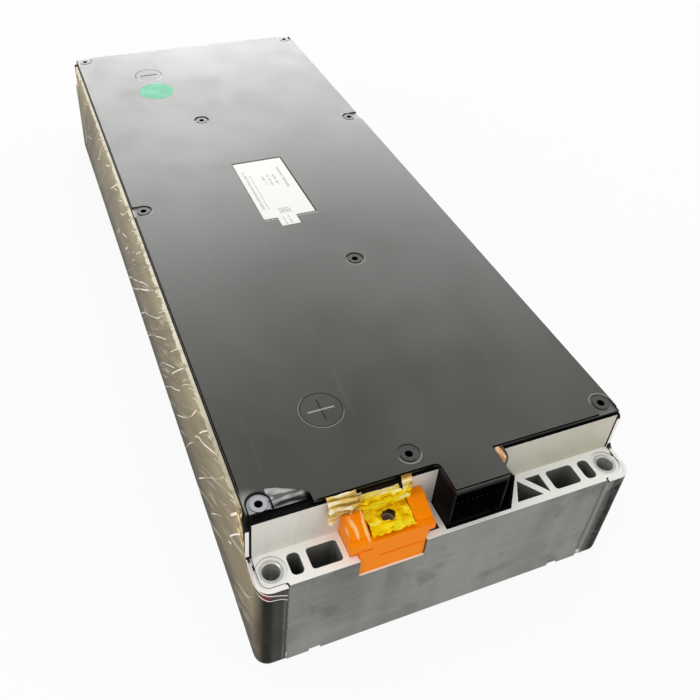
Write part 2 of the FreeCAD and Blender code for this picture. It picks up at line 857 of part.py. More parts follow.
def make_top_cover():
    """Moulded cover: plate, skirt, bridge over the connector, pockets and hollows."""
    plate = rounded_block(
        -cover_half_x, cover_half_x, -cover_end_y, cover_end_y,
        seat_z, cover_top_z, cover_corner_radius)
    tab = round_uprights(tab_block(seat_z, cover_top_z, 0), tab_corner_radius,
                         lambda x, y: y < -cover_end_y - 1)
    body = fused([plate, tab, tab_root(tab_start_x, -1)])
    rim = [e for e in body.Edges if e.BoundBox.ZMin > cover_top_z - 1e-6]
    body = body.makeChamfer(cover_edge, rim)
    hollow = block(
        -cover_half_x + cover_sheet, cover_half_x - cover_sheet,
        -cover_end_y + cover_sheet, cover_end_y - cover_sheet,
        seat_z - 1, cover_under_z)
    body = body.cut([hollow, tab_block(seat_z - 1, cover_under_z, cover_sheet)])
    relief_y = -cover_end_y + corner_relief_depth
    relief_x = -cover_half_x + corner_relief_width
    lip = block(-cover_half_x, relief_x + cover_sheet, relief_y, relief_y + cover_sheet,
                seat_z, cover_top_z)
    lip = lip.fuse(block(relief_x, relief_x + cover_sheet, -cover_end_y, relief_y,
                         seat_z, cover_top_z))
    pads = [post(x, y, pocket_radius + pocket_floor, boss_top_z, cover_under_z + cover_lap)
            for x, y in rivet_places()]
    bounds = block(-cover_half_x, cover_half_x, -cover_end_y, cover_end_y, seat_z, cover_top_z)
    scoop_floor = block(
        -rivet_x, relief_x + cover_sheet, relief_y, relief_y + scoop_run + cover_sheet,
        seat_z, cover_top_z)
    lobe = lobe_well(seat_z, cover_top_z - lobe_drop, 0, tab_right_x - cover_sheet)
    additions = [lip, scoop_floor, lobe] + [pad.common(bounds) for pad in pads]
    body = fused([body] + additions)
    tools = [block(-cover_half_x - 1, relief_x, -cover_end_y - 1, relief_y,
                   seat_z - 1, cover_top_z + 1)]
    tools += [rivet_pocket(*place) for place in rivet_pockets()]
    for x, y in rivet_places():
        tools.append(post(x, y, rivet_shank_half, seat_z - 1, cover_top_z + 1))
        tools.append(post(x, y, boss_half + fit_clearance, seat_z - 1, boss_top_z))
    tools.append(label_area(label_margin, cover_top_z - label_recess, cover_top_z + 1))
    tools.append(corner_scoop())
    tools.append(lobe_well(seat_z - 1, cover_under_z, lobe_wall, tab_right_x - cover_sheet))
    tools.append(lobe_well(seat_z - 1, cover_top_z + 1, lobe_wall, tab_right_x))
    return cut_all(body, tools)


def make_cover_label():
    """Thin label laid in the cover's recess."""
    floor = cover_top_z - label_recess
    return label_area(0, floor, floor + label_thickness)


def make_inspection_dot():
    """Round sticker on the cover."""
    return rod(dot_radius, dot_x, dot_y, cover_top_z, cover_top_z + dot_thickness)


def make_cover_rivets():
    """Hollow push rivets that hold the cover to the carrier."""
    rivets = []
    for x, y in rivet_places():
        head = rod(rivet_head_radius, x, y, pocket_floor_z, pocket_floor_z + rivet_head_thickness)
        shank = post(x, y, rivet_shank_half, pocket_floor_z - rivet_length, pocket_floor_z)
        hollow = rod(rivet_hollow_radius, x, y, pocket_floor_z - rivet_length + rivet_tip,
                     cover_top_z)
        rivets.append(fused([head, shank]).cut(hollow))
    return Part.makeCompound(rivets)


# ---------------------------------------------------------- carrier, busbars
def make_busbar_carrier():
    """Moulded tray over the cells: windows for the terminals, rim and rivet bosses."""
    half_x = cavity_half_width - (side_top_bend - side_sheet) - fit_clearance
    end_y = stack_end
    plate = block(-half_x, half_x, -end_y, end_y, can_top_z, carrier_top_z)
    rim = block(-half_x, half_x, -end_y, end_y, can_top_z, flange_seat_z)
    rim = rim.cut(block(-half_x + carrier_wall, half_x - carrier_wall,
                        -end_y + carrier_wall, end_y - carrier_wall,
                        can_top_z - 1, flange_seat_z + 1))
    bosses = [post(x, y, boss_half, can_top_z, boss_top_z) for x, y in rivet_places()]
    body = fused([plate, rim] + bosses)
    tools = []
    for number in range(1, cell_count + 1):
        for x, length, depth in (
                (-cell_terminal_x, cell_terminal_length, cell_terminal_depth),
                (0, cell_vent_length, cell_vent_depth),
                (cell_terminal_x, cell_terminal_length, cell_terminal_depth)):
            tools.append(centred_block(
                x, cell_y(number), length / 2 + window_gap, depth / 2 + window_gap,
                can_top_z - 1, carrier_top_z + 1))
    for x, y in rivet_places():
        tools.append(post(x, y, rivet_shank_half, pocket_floor_z - rivet_length, boss_top_z + 1))
    tools.append(output_slot(2 * fit_clearance))
    tools.append(at_end(output_slot(2 * fit_clearance), PLAIN_END))
    low_x = flex_tail_x() - flex_width / 2 - 1
    tools.append(block(low_x, low_x + flex_width + 2, -stack_end - 1,
                       -stack_end + carrier_wall + 1, carrier_top_z, flange_seat_z + 1))
    return cut_all(body, tools)


def make_busbar(number):
    """Strap from one cell's pad to the next, with a raised expansion fold."""
    x = terminal_side(number) * cell_terminal_x
    half_width = cell_terminal_length / 2 - pad_margin
    start = cell_y(number)
    stop = cell_y(number + 1)
    middle = (start + stop) / 2
    z = terminal_top_z + busbar_thickness / 2
    rise = busbar_bridge_rise
    half_bridge = busbar_bridge_width / 2
    path = [
        (start - busbar_depth / 2, z), (middle - half_bridge - rise, z),
        (middle - half_bridge, z + rise), (middle + half_bridge, z + rise),
        (middle + half_bridge + rise, z), (stop + busbar_depth / 2, z)]
    left = offset_path(path, busbar_thickness / 2)
    right = offset_path(path, -busbar_thickness / 2)
    outline = [Vector(x - half_width, y, h) for y, h in left + right[::-1]]
    return prism(outline, Vector(2 * half_width, 0, 0))


def make_output_busbar(end):
    """Conductor from the last cell's pad, over the end wall, to the terminal block."""
    thick = output_thickness
    y_cell = cell_y(1)
    pad_half = cell_terminal_length / 2 - pad_margin
    pad = block(-cell_terminal_x - pad_half, -cell_terminal_x + pad_half,
                y_cell - busbar_depth / 2, y_cell + busbar_depth / 2, output_z, output_z + thick)
    half = output_width / 2 - fit_clearance
    link = block(-cell_terminal_x - pad_half, terminal_x + half,
                 y_cell - busbar_depth / 2, y_cell - busbar_depth / 2 + output_link_depth,
                 output_z, output_z + thick)
    drop_y = -wall_face_y - output_stand_off - thick / 2
    tip_y = -pocket_front_y + output_tip_gap
    path = [
        (y_cell, output_z + thick / 2), (drop_y, output_z + thick / 2),
        (drop_y, block_top + thick / 2), (tip_y, block_top + thick / 2)]
    strip = bent_strip(path, thick, output_bend, terminal_x - half, terminal_x + half)
    body = fused([pad, link, strip])
    hole = rod(terminal_hole_radius, terminal_x, -nut_y(), block_top - 1, block_top + thick + 1)
    return at_end(body.cut(hole), end)


def flex_tail_x():
    """Middle of the flex where it leaves for the connector."""
    return tab_start_x + tab_width / 2


def make_sense_flex():
    """Flexible printed circuit along the carrier, up over the end wall."""
    z = carrier_top_z
    x = flex_tail_x()
    half = flex_width / 2 - 1
    thick = flex_thickness
    path = [
        (-cover_end_y - flex_tail_reach, seat_z + thick / 2),
        (-stack_end + flex_slope_start, seat_z + thick / 2),
        (-stack_end + flex_slope_end, z + thick / 2),
        (cell_y(cell_count), z + thick / 2)]
    left = offset_path(path, thick / 2)
    right = offset_path(path, -thick / 2)
    outline = [Vector(x - half, y, h) for y, h in left + right[::-1]]
    spine = prism(outline, Vector(2 * half, 0, 0))
    fingers = []
    for number in range(1, cell_count):
        side = terminal_side(number)
        y = cell_y(number) + cell_thickness / 2
        reach = side * (cell_terminal_x - cell_terminal_length / 2 + 2)
        fingers.append(block(x, reach, y - flex_finger_width / 2, y + flex_finger_width / 2,
                             z, z + thick))
    body = fused([spine, flex_fold(x + half)] + fingers)
    clear = [post(px, py, boss_half + 1, z - 1, cover_top_z) for px, py in rivet_places()]
    return cut_all(body, clear)


def flex_fold(from_x):
    """Arched fold of the flex that stands up in the cover's lobe."""
    fold_x = tab_right_x + flex_fold_reach
    start = Vector(fold_x, lobe_y - lobe_radius, seat_z - flex_fold_sink)
    along = Vector(0, 1, 0)
    arch = Part.makeCylinder(flex_fold_radius, 2 * lobe_radius, start, along)
    arch = arch.cut(Part.makeCylinder(
        flex_fold_radius - flex_thickness, 2 * lobe_radius, start, along))
    middle = flex_fold_radius - flex_thickness / 2
    foot_x = fold_x - math.sqrt(middle ** 2 - flex_fold_sink ** 2)
    sheet = block(from_x - 1, foot_x, lobe_y - lobe_radius, lobe_y + lobe_radius,
                  seat_z, seat_z + flex_thickness)
    area = lobe_well(seat_z, cover_top_z, lobe_wall + fit_clearance, from_x - 1)
    return fused([arch, sheet]).common(area)


def make_temperature_sensors():
    """Two small sensors on the flex, over the second and the last but one cell."""
    z = carrier_top_z + flex_thickness
    half = sensor_size / 2
    x = flex_tail_x()
    sensors = []
    for number in (2, cell_count - 1):
        y = cell_y(number)
        sensors.append(block(x - half, x + half, y - half, y + half, z, z + sensor_height))
    return Part.makeCompound(sensors)


# ------------------------------------------------------------ terminal block
def nut_y():
    """Distance of the terminal screw from the middle of the module."""
    return (wall_face_y + pocket_front_y) / 2 + nut_shift


def hexagon(flats, x, y, z0, z1):
    """Upright hexagonal bar, measured across its flats."""
    radius = flats / math.sqrt(3)
    corners = [(x + radius * math.cos(math.radians(a)), y + radius * math.sin(math.radians(a)))
               for a in range(0, 360, 60)]
    return plan_prism(corners, z0, z1)


def block_wing(x, front, back):
    """Side cheek of a terminal block: level at the back, sloping to the front."""
    top = block_top + block_wing_height
    low = block_top - 1
    outline = [(back, low), (back, top), (back - block_wing_flat, top),
               (front, block_top + block_wing_front_height), (front, low)]
    return prism([Vector(x, y, z) for y, z in outline], Vector(block_wing_width, 0, 0))


def make_terminal_block(end):
    """Insulating block hung in the end plate, with wings, front bar and tongue."""
    left = terminal_pocket_left + fit_clearance
    right = left + block_width
    front = -pocket_front_y + fit_clearance
    back = -wall_face_y - fit_clearance
    low = block_top - block_drop
    core = block(left, right, front, back, low, block_top)
    wings = [block_wing(left, front, back), block_wing(right - block_wing_width, front, back)]
    bar_front = -plate_face_y + block_bar_inset
    bar_top = block_top + block_bar_lift
    bar_low = bar_top - block_bar_height
    bar = block(left - block_bar_overhang, right, bar_front, bar_front + block_bar_depth,
                bar_low, bar_top)
    half = tongue_width / 2
    tongue_front = bar_front + block_tongue_inset
    tongue = block(terminal_x - half, terminal_x + half, tongue_front, front + 1,
                   end_box_height - tongue_drop, bar_top - 1)
    shoulder = plan_prism([
        (terminal_x + half - 1, front + 1), (terminal_x + half - 1, tongue_front),
        (right, front), (right, front + 1)], end_box_height + notch_clearance, bar_top - 1)
    body = fused([core] + wings + [bar, tongue, shoulder])
    slit = block(left + block_slit_inset, left + block_slit_inset + block_slit_width,
                 bar_front - 1, bar_front + block_slit_depth,
                 bar_low - block_slit_height, bar_low)
    line_end = terminal_x + half - block_slit_depth
    rib_line = block(line_end - block_line_width, line_end, bar_front - 1,
                     bar_front + block_line_depth,
                     end_box_height - 2 * block_line_height, end_box_height - block_line_height)
    half_way = output_width / 2
    way = block(terminal_x - half_way, terminal_x + half_way, back - block_way_depth, back + 1,
                block_top, output_z)
    seat = hexagon(nut_flats, terminal_x, -nut_y(), block_top - nut_height, block_top + 1)
    bolt_way = rod(terminal_hole_radius, terminal_x, -nut_y(), low + block_floor, block_top)
    return at_end(cut_all(body, [slit, rib_line, way, seat, bolt_way]), end)


def make_terminal_nut(end):
    """Nut held in the terminal block."""
    nut = hexagon(nut_flats, terminal_x, -nut_y(), block_top - nut_height, block_top)
    bore = rod(nut_thread_radius, terminal_x, -nut_y(), 0, cover_top_z)
    return at_end(nut.cut(bore), end)


def make_terminal_film(end):
    """Protective film over the output busbar, with two flaps up to the cover's edge."""
    deck_z = block_top + output_thickness + cap_film / 2
    wall_y = -wall_face_y - output_stand_off - output_thickness - cap_clearance
    cover_y = -cover_end_y - cap_clearance
    path = [
        (-plate_face_y + cap_front_inset, deck_z),
        (wall_y, deck_z),
        (wall_y, output_z + output_thickness + cap_clearance),
        (cover_y, cover_top_z)]
    left = offset_path(path, cap_film / 2)
    right = offset_path(path, -cap_film / 2)
    outline = [Vector(cap_left_x, y, z) for y, z in left + right[::-1]]
    film = prism(outline, Vector(cap_right_x - cap_left_x, 0, 0))
    half_way = output_width / 2 + fit_clearance
    y0 = -plate_face_y
    y1 = -cover_end_y
    tools = [
        block(cap_left_x, terminal_x - half_way, y0, y1, 0, cap_narrow_z),
        block(terminal_x + half_way, cap_right_x, y0, y1, 0, cap_narrow_z),
        block(cap_left_x + cap_left_flap, cap_right_x - cap_right_flap, y0, y1,
              cap_middle_z, cover_top_z + 1),
        rod(terminal_hole_radius + cap_clearance, terminal_x, -nut_y(), 0, output_z)]
    return at_end(cut_all(film, tools), end)


# ----------------------------------------------------------- sense connector
def make_sense_connector():
    """Header whose mouth faces out of the end plate under the cover's bridge.

    Its foot fills the end plate's pocket and rises as a thin wall against the
    slanting side of it.
    """
    left = tab_start_x
    right = left + shroud_width
    front = -cover_end_y - tab_length
    shroud = block(left, right, front, -wall_face_y, shroud_foot_z, seat_z)
    shroud = round_uprights(shroud, shroud_corner, lambda x, y: y < front + 1)
    outline = [(x, -y) for x, y in connector_outline(fit_clearance)]
    foot = plan_prism(outline, shroud_base, shroud_foot_z)
    rim = plan_prism(outline, shroud_foot_z, end_box_height)
    inner = [(x, -y) for x, y in connector_outline(fit_clearance + shroud_wall)]
    rim = rim.cut(plan_prism(inner, shroud_foot_z, end_box_height))
    back = -wall_face_y - fit_clearance
    side_x = connector_side_x(wall_face_y) - shroud_wall
    web = prism([
        Vector(right - 1, back, shroud_foot_z), Vector(side_x, back, shroud_foot_z),
        Vector(side_x, back, end_box_height + 1), Vector(right - 1, back, seat_z)],
        Vector(0, -shroud_wall, 0))
    body = fused([shroud, foot, rim, web])
    mouth = rounded_block(
        left + shroud_wall, right - shroud_wall, front - 1, front + shroud_mouth_depth,
        shroud_mouth_base, seat_z - shroud_wall, mouth_corner)
    key = block(right - key_inset - key_width, right - key_inset,
                front, front + shroud_mouth_depth,
                shroud_mouth_base - key_depth, shroud_mouth_base + 1)
    return body.cut([mouth, key]).removeSplitter()


def make_connector_pins():
    """Square pins standing in the header's mouth."""
    floor_y = -cover_end_y - tab_length + shroud_mouth_depth
    middle_x = tab_start_x + shroud_width / 2
    middle_z = (shroud_mouth_base + seat_z - shroud_wall) / 2
    half = pin_size / 2
    pins = []
    for row in range(pin_rows):
        z = middle_z + (row - (pin_rows - 1) / 2) * pin_row_pitch
        for column in range(pins_per_row):
            x = middle_x + (column - (pins_per_row - 1) / 2) * pin_pitch
            pins.append(block(x - half, x + half, floor_y - pin_length, floor_y,
                              z - half, z + half))
    return Part.makeCompound(pins)


# ------------------------------------------------------------------ assembly
def build():
    """Every node of the module by name."""
    nodes = {
        "end_plate_front": make_end_plate(CONNECTOR_END),
        "end_plate_rear": make_end_plate(PLAIN_END),
        "mounting_sleeves": make_mounting_sleeves(),
        "side_plate_left": make_side_plate(-1),
        "side_plate_right": make_side_plate(1),
        "side_film_left": make_side_film(-1),
        "side_film_right": make_side_film(1),
        "side_liner_left": make_side_liner(-1),
        "side_liner_right": make_side_liner(1),
        "base_sheet": make_base_sheet(),
        "end_insulator_front": make_end_insulator(CONNECTOR_END),
        "end_insulator_rear": make_end_insulator(PLAIN_END),
        "busbar_carrier": make_busbar_carrier(),
        "output_busbar_positive": make_output_busbar(CONNECTOR_END),
        "output_busbar_negative": make_output_busbar(PLAIN_END),
        "terminal_block_positive": make_terminal_block(CONNECTOR_END),
        "terminal_block_negative": make_terminal_block(PLAIN_END),
        "terminal_nut_positive": make_terminal_nut(CONNECTOR_END),
        "terminal_nut_negative": make_terminal_nut(PLAIN_END),
        "terminal_film_positive": make_terminal_film(CONNECTOR_END),
        "terminal_film_negative": make_terminal_film(PLAIN_END),
        "sense_flex": make_sense_flex(),
        "temperature_sensors": make_temperature_sensors(),
        "sense_connector": make_sense_connector(),
        "connector_pins": make_connector_pins(),
        "top_cover": make_top_cover(),
        "cover_rivets": make_cover_rivets(),
        "cover_label": make_cover_label(),
        "inspection_dot": make_inspection_dot(),
    }
    for number in range(1, cell_count + 1):
        nodes[f"cell_{number}"] = make_cell(number)
    for number in range(1, cell_count):
        nodes[f"cell_pad_{number}"] = make_cell_pad(number)
        nodes[f"busbar_{number}"] = make_busbar(number)
    return nodes


os.makedirs("parts", exist_ok=True)
for name, shape in build().items():
    shape.exportStep(os.path.join("parts", name + ".step"))
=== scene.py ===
"""EV battery module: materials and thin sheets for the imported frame."""

import bmesh
import bpy
import math
import random
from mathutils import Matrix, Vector, noise


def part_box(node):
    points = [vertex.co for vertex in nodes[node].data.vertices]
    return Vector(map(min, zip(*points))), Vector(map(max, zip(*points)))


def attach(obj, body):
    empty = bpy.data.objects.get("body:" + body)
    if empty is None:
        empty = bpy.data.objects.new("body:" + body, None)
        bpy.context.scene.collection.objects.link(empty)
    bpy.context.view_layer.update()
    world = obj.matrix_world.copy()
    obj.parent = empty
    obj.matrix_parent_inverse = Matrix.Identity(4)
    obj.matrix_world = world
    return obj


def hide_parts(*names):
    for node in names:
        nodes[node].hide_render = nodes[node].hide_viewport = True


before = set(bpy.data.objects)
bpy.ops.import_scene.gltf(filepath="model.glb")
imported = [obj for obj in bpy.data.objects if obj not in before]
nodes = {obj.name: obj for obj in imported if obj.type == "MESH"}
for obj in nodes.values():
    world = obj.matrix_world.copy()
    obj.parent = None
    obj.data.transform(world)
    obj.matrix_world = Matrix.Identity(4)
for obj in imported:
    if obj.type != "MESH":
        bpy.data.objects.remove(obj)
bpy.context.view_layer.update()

# ------------------------------------------------------------------- camera
# Stands at the connector end, to the left of the module and above it, and looks
# down along the cover. The module lies a little out of the middle of the frame.
camera_data = bpy.data.cameras.new("camera")
camera_data.sensor_width = 36.0
camera_data.lens = 41.388
camera_data.shift_x = 0.07035
camera_data.shift_y = -0.11608
camera = bpy.data.objects.new("camera", camera_data)
camera.rotation_mode = "QUATERNION"
camera.rotation_quaternion = (0.887949, 0.422854, -0.09467, -0.154207)
camera.location = (-0.178932, -0.490755, 0.446618)
bpy.context.scene.collection.objects.link(camera)
bpy.context.scene.camera = camera
bpy.context.scene.view_settings.view_transform = "Standard"


# ---------------------------------------------------------- floor and light
# Pale studio floor in a white room. Two long panels beyond the far end show only
# in gloss; a wide one overhead and one at the left add a little soft light.
def put(tree, kind, sockets=None, **settings):
    """Adds a shader node; a socket is given a value or another node's output."""
    node = tree.nodes.new(kind)
    for name, value in settings.items():
        setattr(node, name, value)
    for name, value in (sockets or {}).items():
        if isinstance(value, bpy.types.NodeSocket):
            tree.links.new(value, node.inputs[name])
        else:
            node.inputs[name].default_value = value
    return node


def either(tree, first, second):
    """The larger of two values: 1 where one mask or the other is."""
    return put(tree, "ShaderNodeMath", {0: first, 1: second}, operation="MAXIMUM").outputs[0]


def both(tree, first, second):
    """Two values multiplied: 1 where both masks are."""
    return put(tree, "ShaderNodeMath", {0: first, 1: second}, operation="MULTIPLY").outputs[0]


def span(tree, value, low, high, to_low=0.0, to_high=1.0, smooth=True):
    """Value carried from one range to another."""
    return put(tree, "ShaderNodeMapRange", {
        "Value": value, "From Min": low, "From Max": high, "To Min": to_low,
        "To Max": to_high}, interpolation_type="SMOOTHSTEP" if smooth else "LINEAR").outputs[0]


def axes_of(tree, vector, letters):
    """Single axes of a vector, named by their letters."""
    parts = put(tree, "ShaderNodeSeparateXYZ", {0: vector}).outputs
    return [parts[letter] for letter in letters]


def white_to_the_eye(tree):
    """1 for rays from the camera and for rays off gloss and glass, else 0."""
    path = put(tree, "ShaderNodeLightPath").outputs
    seen = either(tree, path["Is Camera Ray"], path["Is Glossy Ray"])
    return either(tree, seen, path["Is Transmission Ray"])


white_light = (1.0, 1.0, 1.0, 1.0)
room_seen = 0.83
room_overhead = 0.30
room = bpy.data.worlds.new("room")
bpy.context.scene.world = room
room.use_nodes = True
room_tree = room.node_tree
room_tree.nodes.clear()
room_way = put(room_tree, "ShaderNodeTexCoord").outputs["Generated"]
(room_height,) = axes_of(room_tree, room_way, "Z")
ceiling = span(room_tree, room_height, 0.50, 0.80, 1.0, room_overhead)
room_level = put(room_tree, "ShaderNodeMix", {
    0: white_to_the_eye(room_tree), 2: room_seen, 3: ceiling}, data_type="FLOAT").outputs[0]
room_light = put(room_tree, "ShaderNodeBackground", {"Color": white_light, "Strength": room_level})
put(room_tree, "ShaderNodeOutputWorld", {"Surface": room_light.outputs[0]})


def finish_slot(name, **sockets):
    """New material; returns it with its node tree and its Principled shader."""
    material = bpy.data.materials.new(name)
    material.use_nodes = True
    tree = material.node_tree
    surface = tree.nodes["Principled BSDF"]
    for socket, value in sockets.items():
        surface.inputs[socket.replace("_", " ")].default_value = value
    return material, tree, surface


def give(node, socket, value):
    """Links a value, a colour or a shader to a socket of a node."""
    node.id_data.links.new(value, node.inputs[socket])


def piece_of(name, bm, material):
    """Makes a modelled piece an object that wears one material."""
    mesh = bpy.data.meshes.new(name)
    bm.to_mesh(mesh)
    bm.free()
    mesh.materials.append(material)
    piece = bpy.data.objects.new(name, mesh)
    bpy.context.scene.collection.objects.link(piece)
    return piece


floor_reach = 4.0
floor_height = -0.0003
floor_glow_share = 0.90
floor_paper, floor_tree, floor_surface = finish_slot(
    "floor_paper", Base_Color=(0.90, 0.90, 0.90, 1.0), Roughness=0.9, Specular_IOR_Level=0.2)
floor_glow = put(floor_tree, "ShaderNodeEmission", {"Color": white_light, "Strength": 1.0})
floor_mix = put(floor_tree, "ShaderNodeMixShader", {
    0: both(floor_tree, white_to_the_eye(floor_tree), floor_glow_share),
    1: floor_surface.outputs[0], 2: floor_glow.outputs[0]})
give(floor_tree.nodes["Material Output"], "Surface", floor_mix.outputs[0])
floor_bm = bmesh.new()
bmesh.ops.create_grid(floor_bm, x_segments=1, y_segments=1, size=floor_reach)
bmesh.ops.translate(floor_bm, vec=(0.0, 0.0, floor_height), verts=floor_bm.verts)
floor = piece_of("floor", floor_bm, floor_paper)


def soft_panel(name, place, aim, width, height, power):
    """Rectangular lamp that faces a point."""
    data = bpy.data.lights.new(name, "AREA")
    data.shape = "RECTANGLE"
    data.size = width
    data.size_y = height
    data.energy = power
    lamp = bpy.data.objects.new(name, data)
    lamp.location = place
    lamp.rotation_euler = (Vector(place) - Vector(aim)).to_track_quat("Z", "Y").to_euler()
    bpy.context.scene.collection.objects.link(lamp)
    return lamp


module_middle = (0.0, 0.0, 0.1)
for gloss_only in (
        soft_panel("far_panel", (1.3, 2.3, 0.95), module_middle, width=3.2, height=1.15,
                   power=104.0),
        soft_panel("far_upper_panel", (0.0, 2.2, 1.62), module_middle, width=1.5, height=0.6,
                   power=18.0)):
    gloss_only.visible_diffuse = False
soft_panel("overhead_panel", (-0.5, 0.1, 2.4), (0.0, 0.0, 0.0), width=2.4, height=2.4, power=3.0)
soft_panel("left_panel", (-2.2, -0.4, 1.0), (0.0, 0.0, 0.05), width=1.6, height=1.2, power=10.0)


# ------------------------------------------------------- cells and their pads
# Eight drawn aluminium cans in blue film, with foam pads between them. All are
# closed in by the carrier, the cover and the plates.
def wear(names, material):
    """Gives CAD nodes a material."""
    for name in names:
        mesh = nodes[name].data
        mesh.materials.clear()
        mesh.materials.append(material)


def object_place(tree):
    """Object coordinates, in metres."""
    return put(tree, "ShaderNodeTexCoord").outputs["Object"]


def speckle(tree, vector, scale, detail=4.0, roughness=0.55, distortion=0.0):
    """Noise over the surface, about 0.5 on average."""
    return put(tree, "ShaderNodeTexNoise", {
        "Vector": vector, "Scale": scale, "Detail": detail, "Roughness": roughness,
        "Distortion": distortion}).outputs["Fac"]


def blend(tree, share, first, second):
    """Colour between two, by a share from 0 to 1."""
    return put(tree, "ShaderNodeMix", {0: share, 6: first, 7: second},
               data_type="RGBA").outputs[2]


def relief(tree, height, strength, distance):
    """Normal from a height."""
    return put(tree, "ShaderNodeBump", {
        "Height": height, "Strength": strength, "Distance": distance}).outputs[0]


def colour(r, g, b):
    """Opaque linear colour."""
    return (r, g, b, 1.0)


def speckled(name, scale, first, second, grain=None, **sockets):
    """New material in two mixed tones; grain is the strength and depth of its relief."""
    material, tree, surface = finish_slot(name, **sockets)
    mixed = speckle(tree, object_place(tree), scale)
    give(surface, "Base Color", blend(tree, mixed, first, second))
    if grain:
        give(surface, "Normal", relief(tree, mixed, *grain))
    return material


cell_film = speckled("cell_film", 60.0, colour(0.02, 0.07, 0.28), colour(0.03, 0.10, 0.36),
                     Roughness=0.35, Coat_Weight=0.2)
wear([f"cell_{n}" for n in range(1, 9)], cell_film)

pad_foam = speckled("pad_foam", 900.0, colour(0.02, 0.02, 0.02), colour(0.05, 0.05, 0.05),
                    grain=(0.5, 0.0003), Roughness=0.9)
wear([f"cell_pad_{n}" for n in range(1, 8)], pad_foam)


# --------------------------------------------------------- insulating sheets
# Thin black sheets: two side liners, a base sheet and, behind each end wall, a
# sheet whose lip shows as the black line round the wall.
sheet_black = speckled(
    "sheet_black", 220.0, colour(0.003, 0.003, 0.003), colour(0.008, 0.008, 0.007),
    Roughness=0.42, Specular_IOR_Level=0.02)
wear(["side_liner_left", "side_liner_right", "base_sheet", "end_insulator_front",
      "end_insulator_rear"], sheet_black)


# ----------------------------------------------------------------- end plates
# Aluminium extrusion stood on end: its faces keep faint die lines and smudges
# from handling, and its sawn top is bright.
def stretched(tree, vector, scale):
    """Coordinates scaled by axis, so that a pattern runs along the smaller one."""
    return put(tree, "ShaderNodeMapping", {"Vector": vector, "Scale": scale}).outputs[0]


def effect(name, inputs, outputs):
    """New node group; returns it with its input sockets and its output node."""
    group = bpy.data.node_groups.new(name, "ShaderNodeTree")
    for socket, kind, value in inputs:
        made = group.interface.new_socket(name=socket, in_out="INPUT", socket_type=kind)
        made.default_value = value
    for socket, kind in outputs:
        group.interface.new_socket(name=socket, in_out="OUTPUT", socket_type=kind)
    source = group.nodes.new("NodeGroupInput")
    return group, source.outputs, group.nodes.new("NodeGroupOutput")


def apply_effect(tree, group, sockets):
    """Places a node group in a material."""
    return put(tree, "ShaderNodeGroup", sockets, node_tree=group).outputs


drawn_lines, lines_in, lines_out = effect(
    "drawn_lines",
    [("Vector", "NodeSocketVector", (0, 0, 0)), ("Stretch", "NodeSocketVector", (1, 1, 1))],
    [("Fine", "NodeSocketFloat"), ("Broad", "NodeSocketFloat")])
lines_at = stretched(drawn_lines, lines_in["Vector"], lines_in["Stretch"])
give(lines_out, "Fine", speckle(drawn_lines, lines_at, 1.0, 6.0, 0.7))
give(lines_out, "Broad", speckle(drawn_lines, lines_at, 0.16, 3.0, 0.5))

handling, handling_in, handling_out = effect(
    "handling",
    [("Vector", "NodeSocketVector", (0, 0, 0)), ("Patch size", "NodeSocketFloat", 0.05)],
    [("Smudge", "NodeSocketFloat"), ("Scratch", "NodeSocketFloat"), ("Dust", "NodeSocketFloat")])
patch_scale = put(handling, "ShaderNodeMath", {0: 1.0, 1: handling_in["Patch size"]},
                  operation="DIVIDE").outputs[0]
patches = speckle(handling, handling_in["Vector"], patch_scale, 2.5, 0.45, 0.2)
give(handling_out, "Smudge", span(handling, patches, 0.30, 0.74))
scratches = 0.0
scratch_across = 60.0
scratch_along = 2.0
for turn, stretch in ((0.5, 9.0), (2.1, 14.0), (1.2, 7.0)):
    run = put(handling, "ShaderNodeMapping", {
        "Vector": handling_in["Vector"], "Rotation": (0.0, 0.0, turn),
        "Scale": (stretch * scratch_across, stretch * scratch_along, stretch * scratch_across)})
    thin = span(handling, speckle(handling, run.outputs[0], 1.0, 2.0, 0.4), 0.70, 0.76)
    scratches = either(handling, scratches, thin)
give(handling_out, "Scratch", scratches)
grains = put(handling, "ShaderNodeTexVoronoi", {
    "Vector": handling_in["Vector"], "Scale": 260.0}, feature="F1").outputs
grain_dots = span(handling, grains["Distance"], 0.10, 0.05)
grain_dice = put(handling, "ShaderNodeSeparateColor", {"Color": grains["Color"]}).outputs[0]
give(handling_out, "Dust", both(handling, grain_dots, span(handling, grain_dice, 0.80, 0.84)))


def facing_up(tree):
    """1 on surfaces that face up, else 0."""
    normal = put(tree, "ShaderNodeNewGeometry").outputs["Normal"]
    (up,) = axes_of(tree, normal, "Z")
    return span(tree, up, 0.80, 0.95)


def sum_of(tree, first, second):
    """Two values added."""
    return put(tree, "ShaderNodeMath", {0: first, 1: second}).outputs[0]


def less(tree, first, second):
    """One value less another."""
    return put(tree, "ShaderNodeMath", {0: first, 1: second}, operation="SUBTRACT").outputs[0]


def absolute(tree, value):
    """A value without its sign: the same at both ends or on both sides."""
    return put(tree, "ShaderNodeMath", {0: value}, operation="ABSOLUTE").outputs[0]


def box_mask(tree, value, centre, half, soft):
    """1 where a value lies within half of a centre, else 0."""
    return span(tree, absolute(tree, less(tree, value, centre)), half + soft, half - soft)


def distance_to(tree, x, y, place):
    """Distance in plan from a point."""
    across = less(tree, x, place[0])
    along = less(tree, y, place[1])
    square = sum_of(tree, both(tree, across, across), both(tree, along, along))
    return put(tree, "ShaderNodeMath", {0: square}, operation="SQRT").outputs[0]


def coats(tree, base, *layers):
    """Lays colours over a base in turn, each by its own share from 0 to 1."""
    for share, tone in layers:
        base = blend(tree, share, base, tone)
    return base


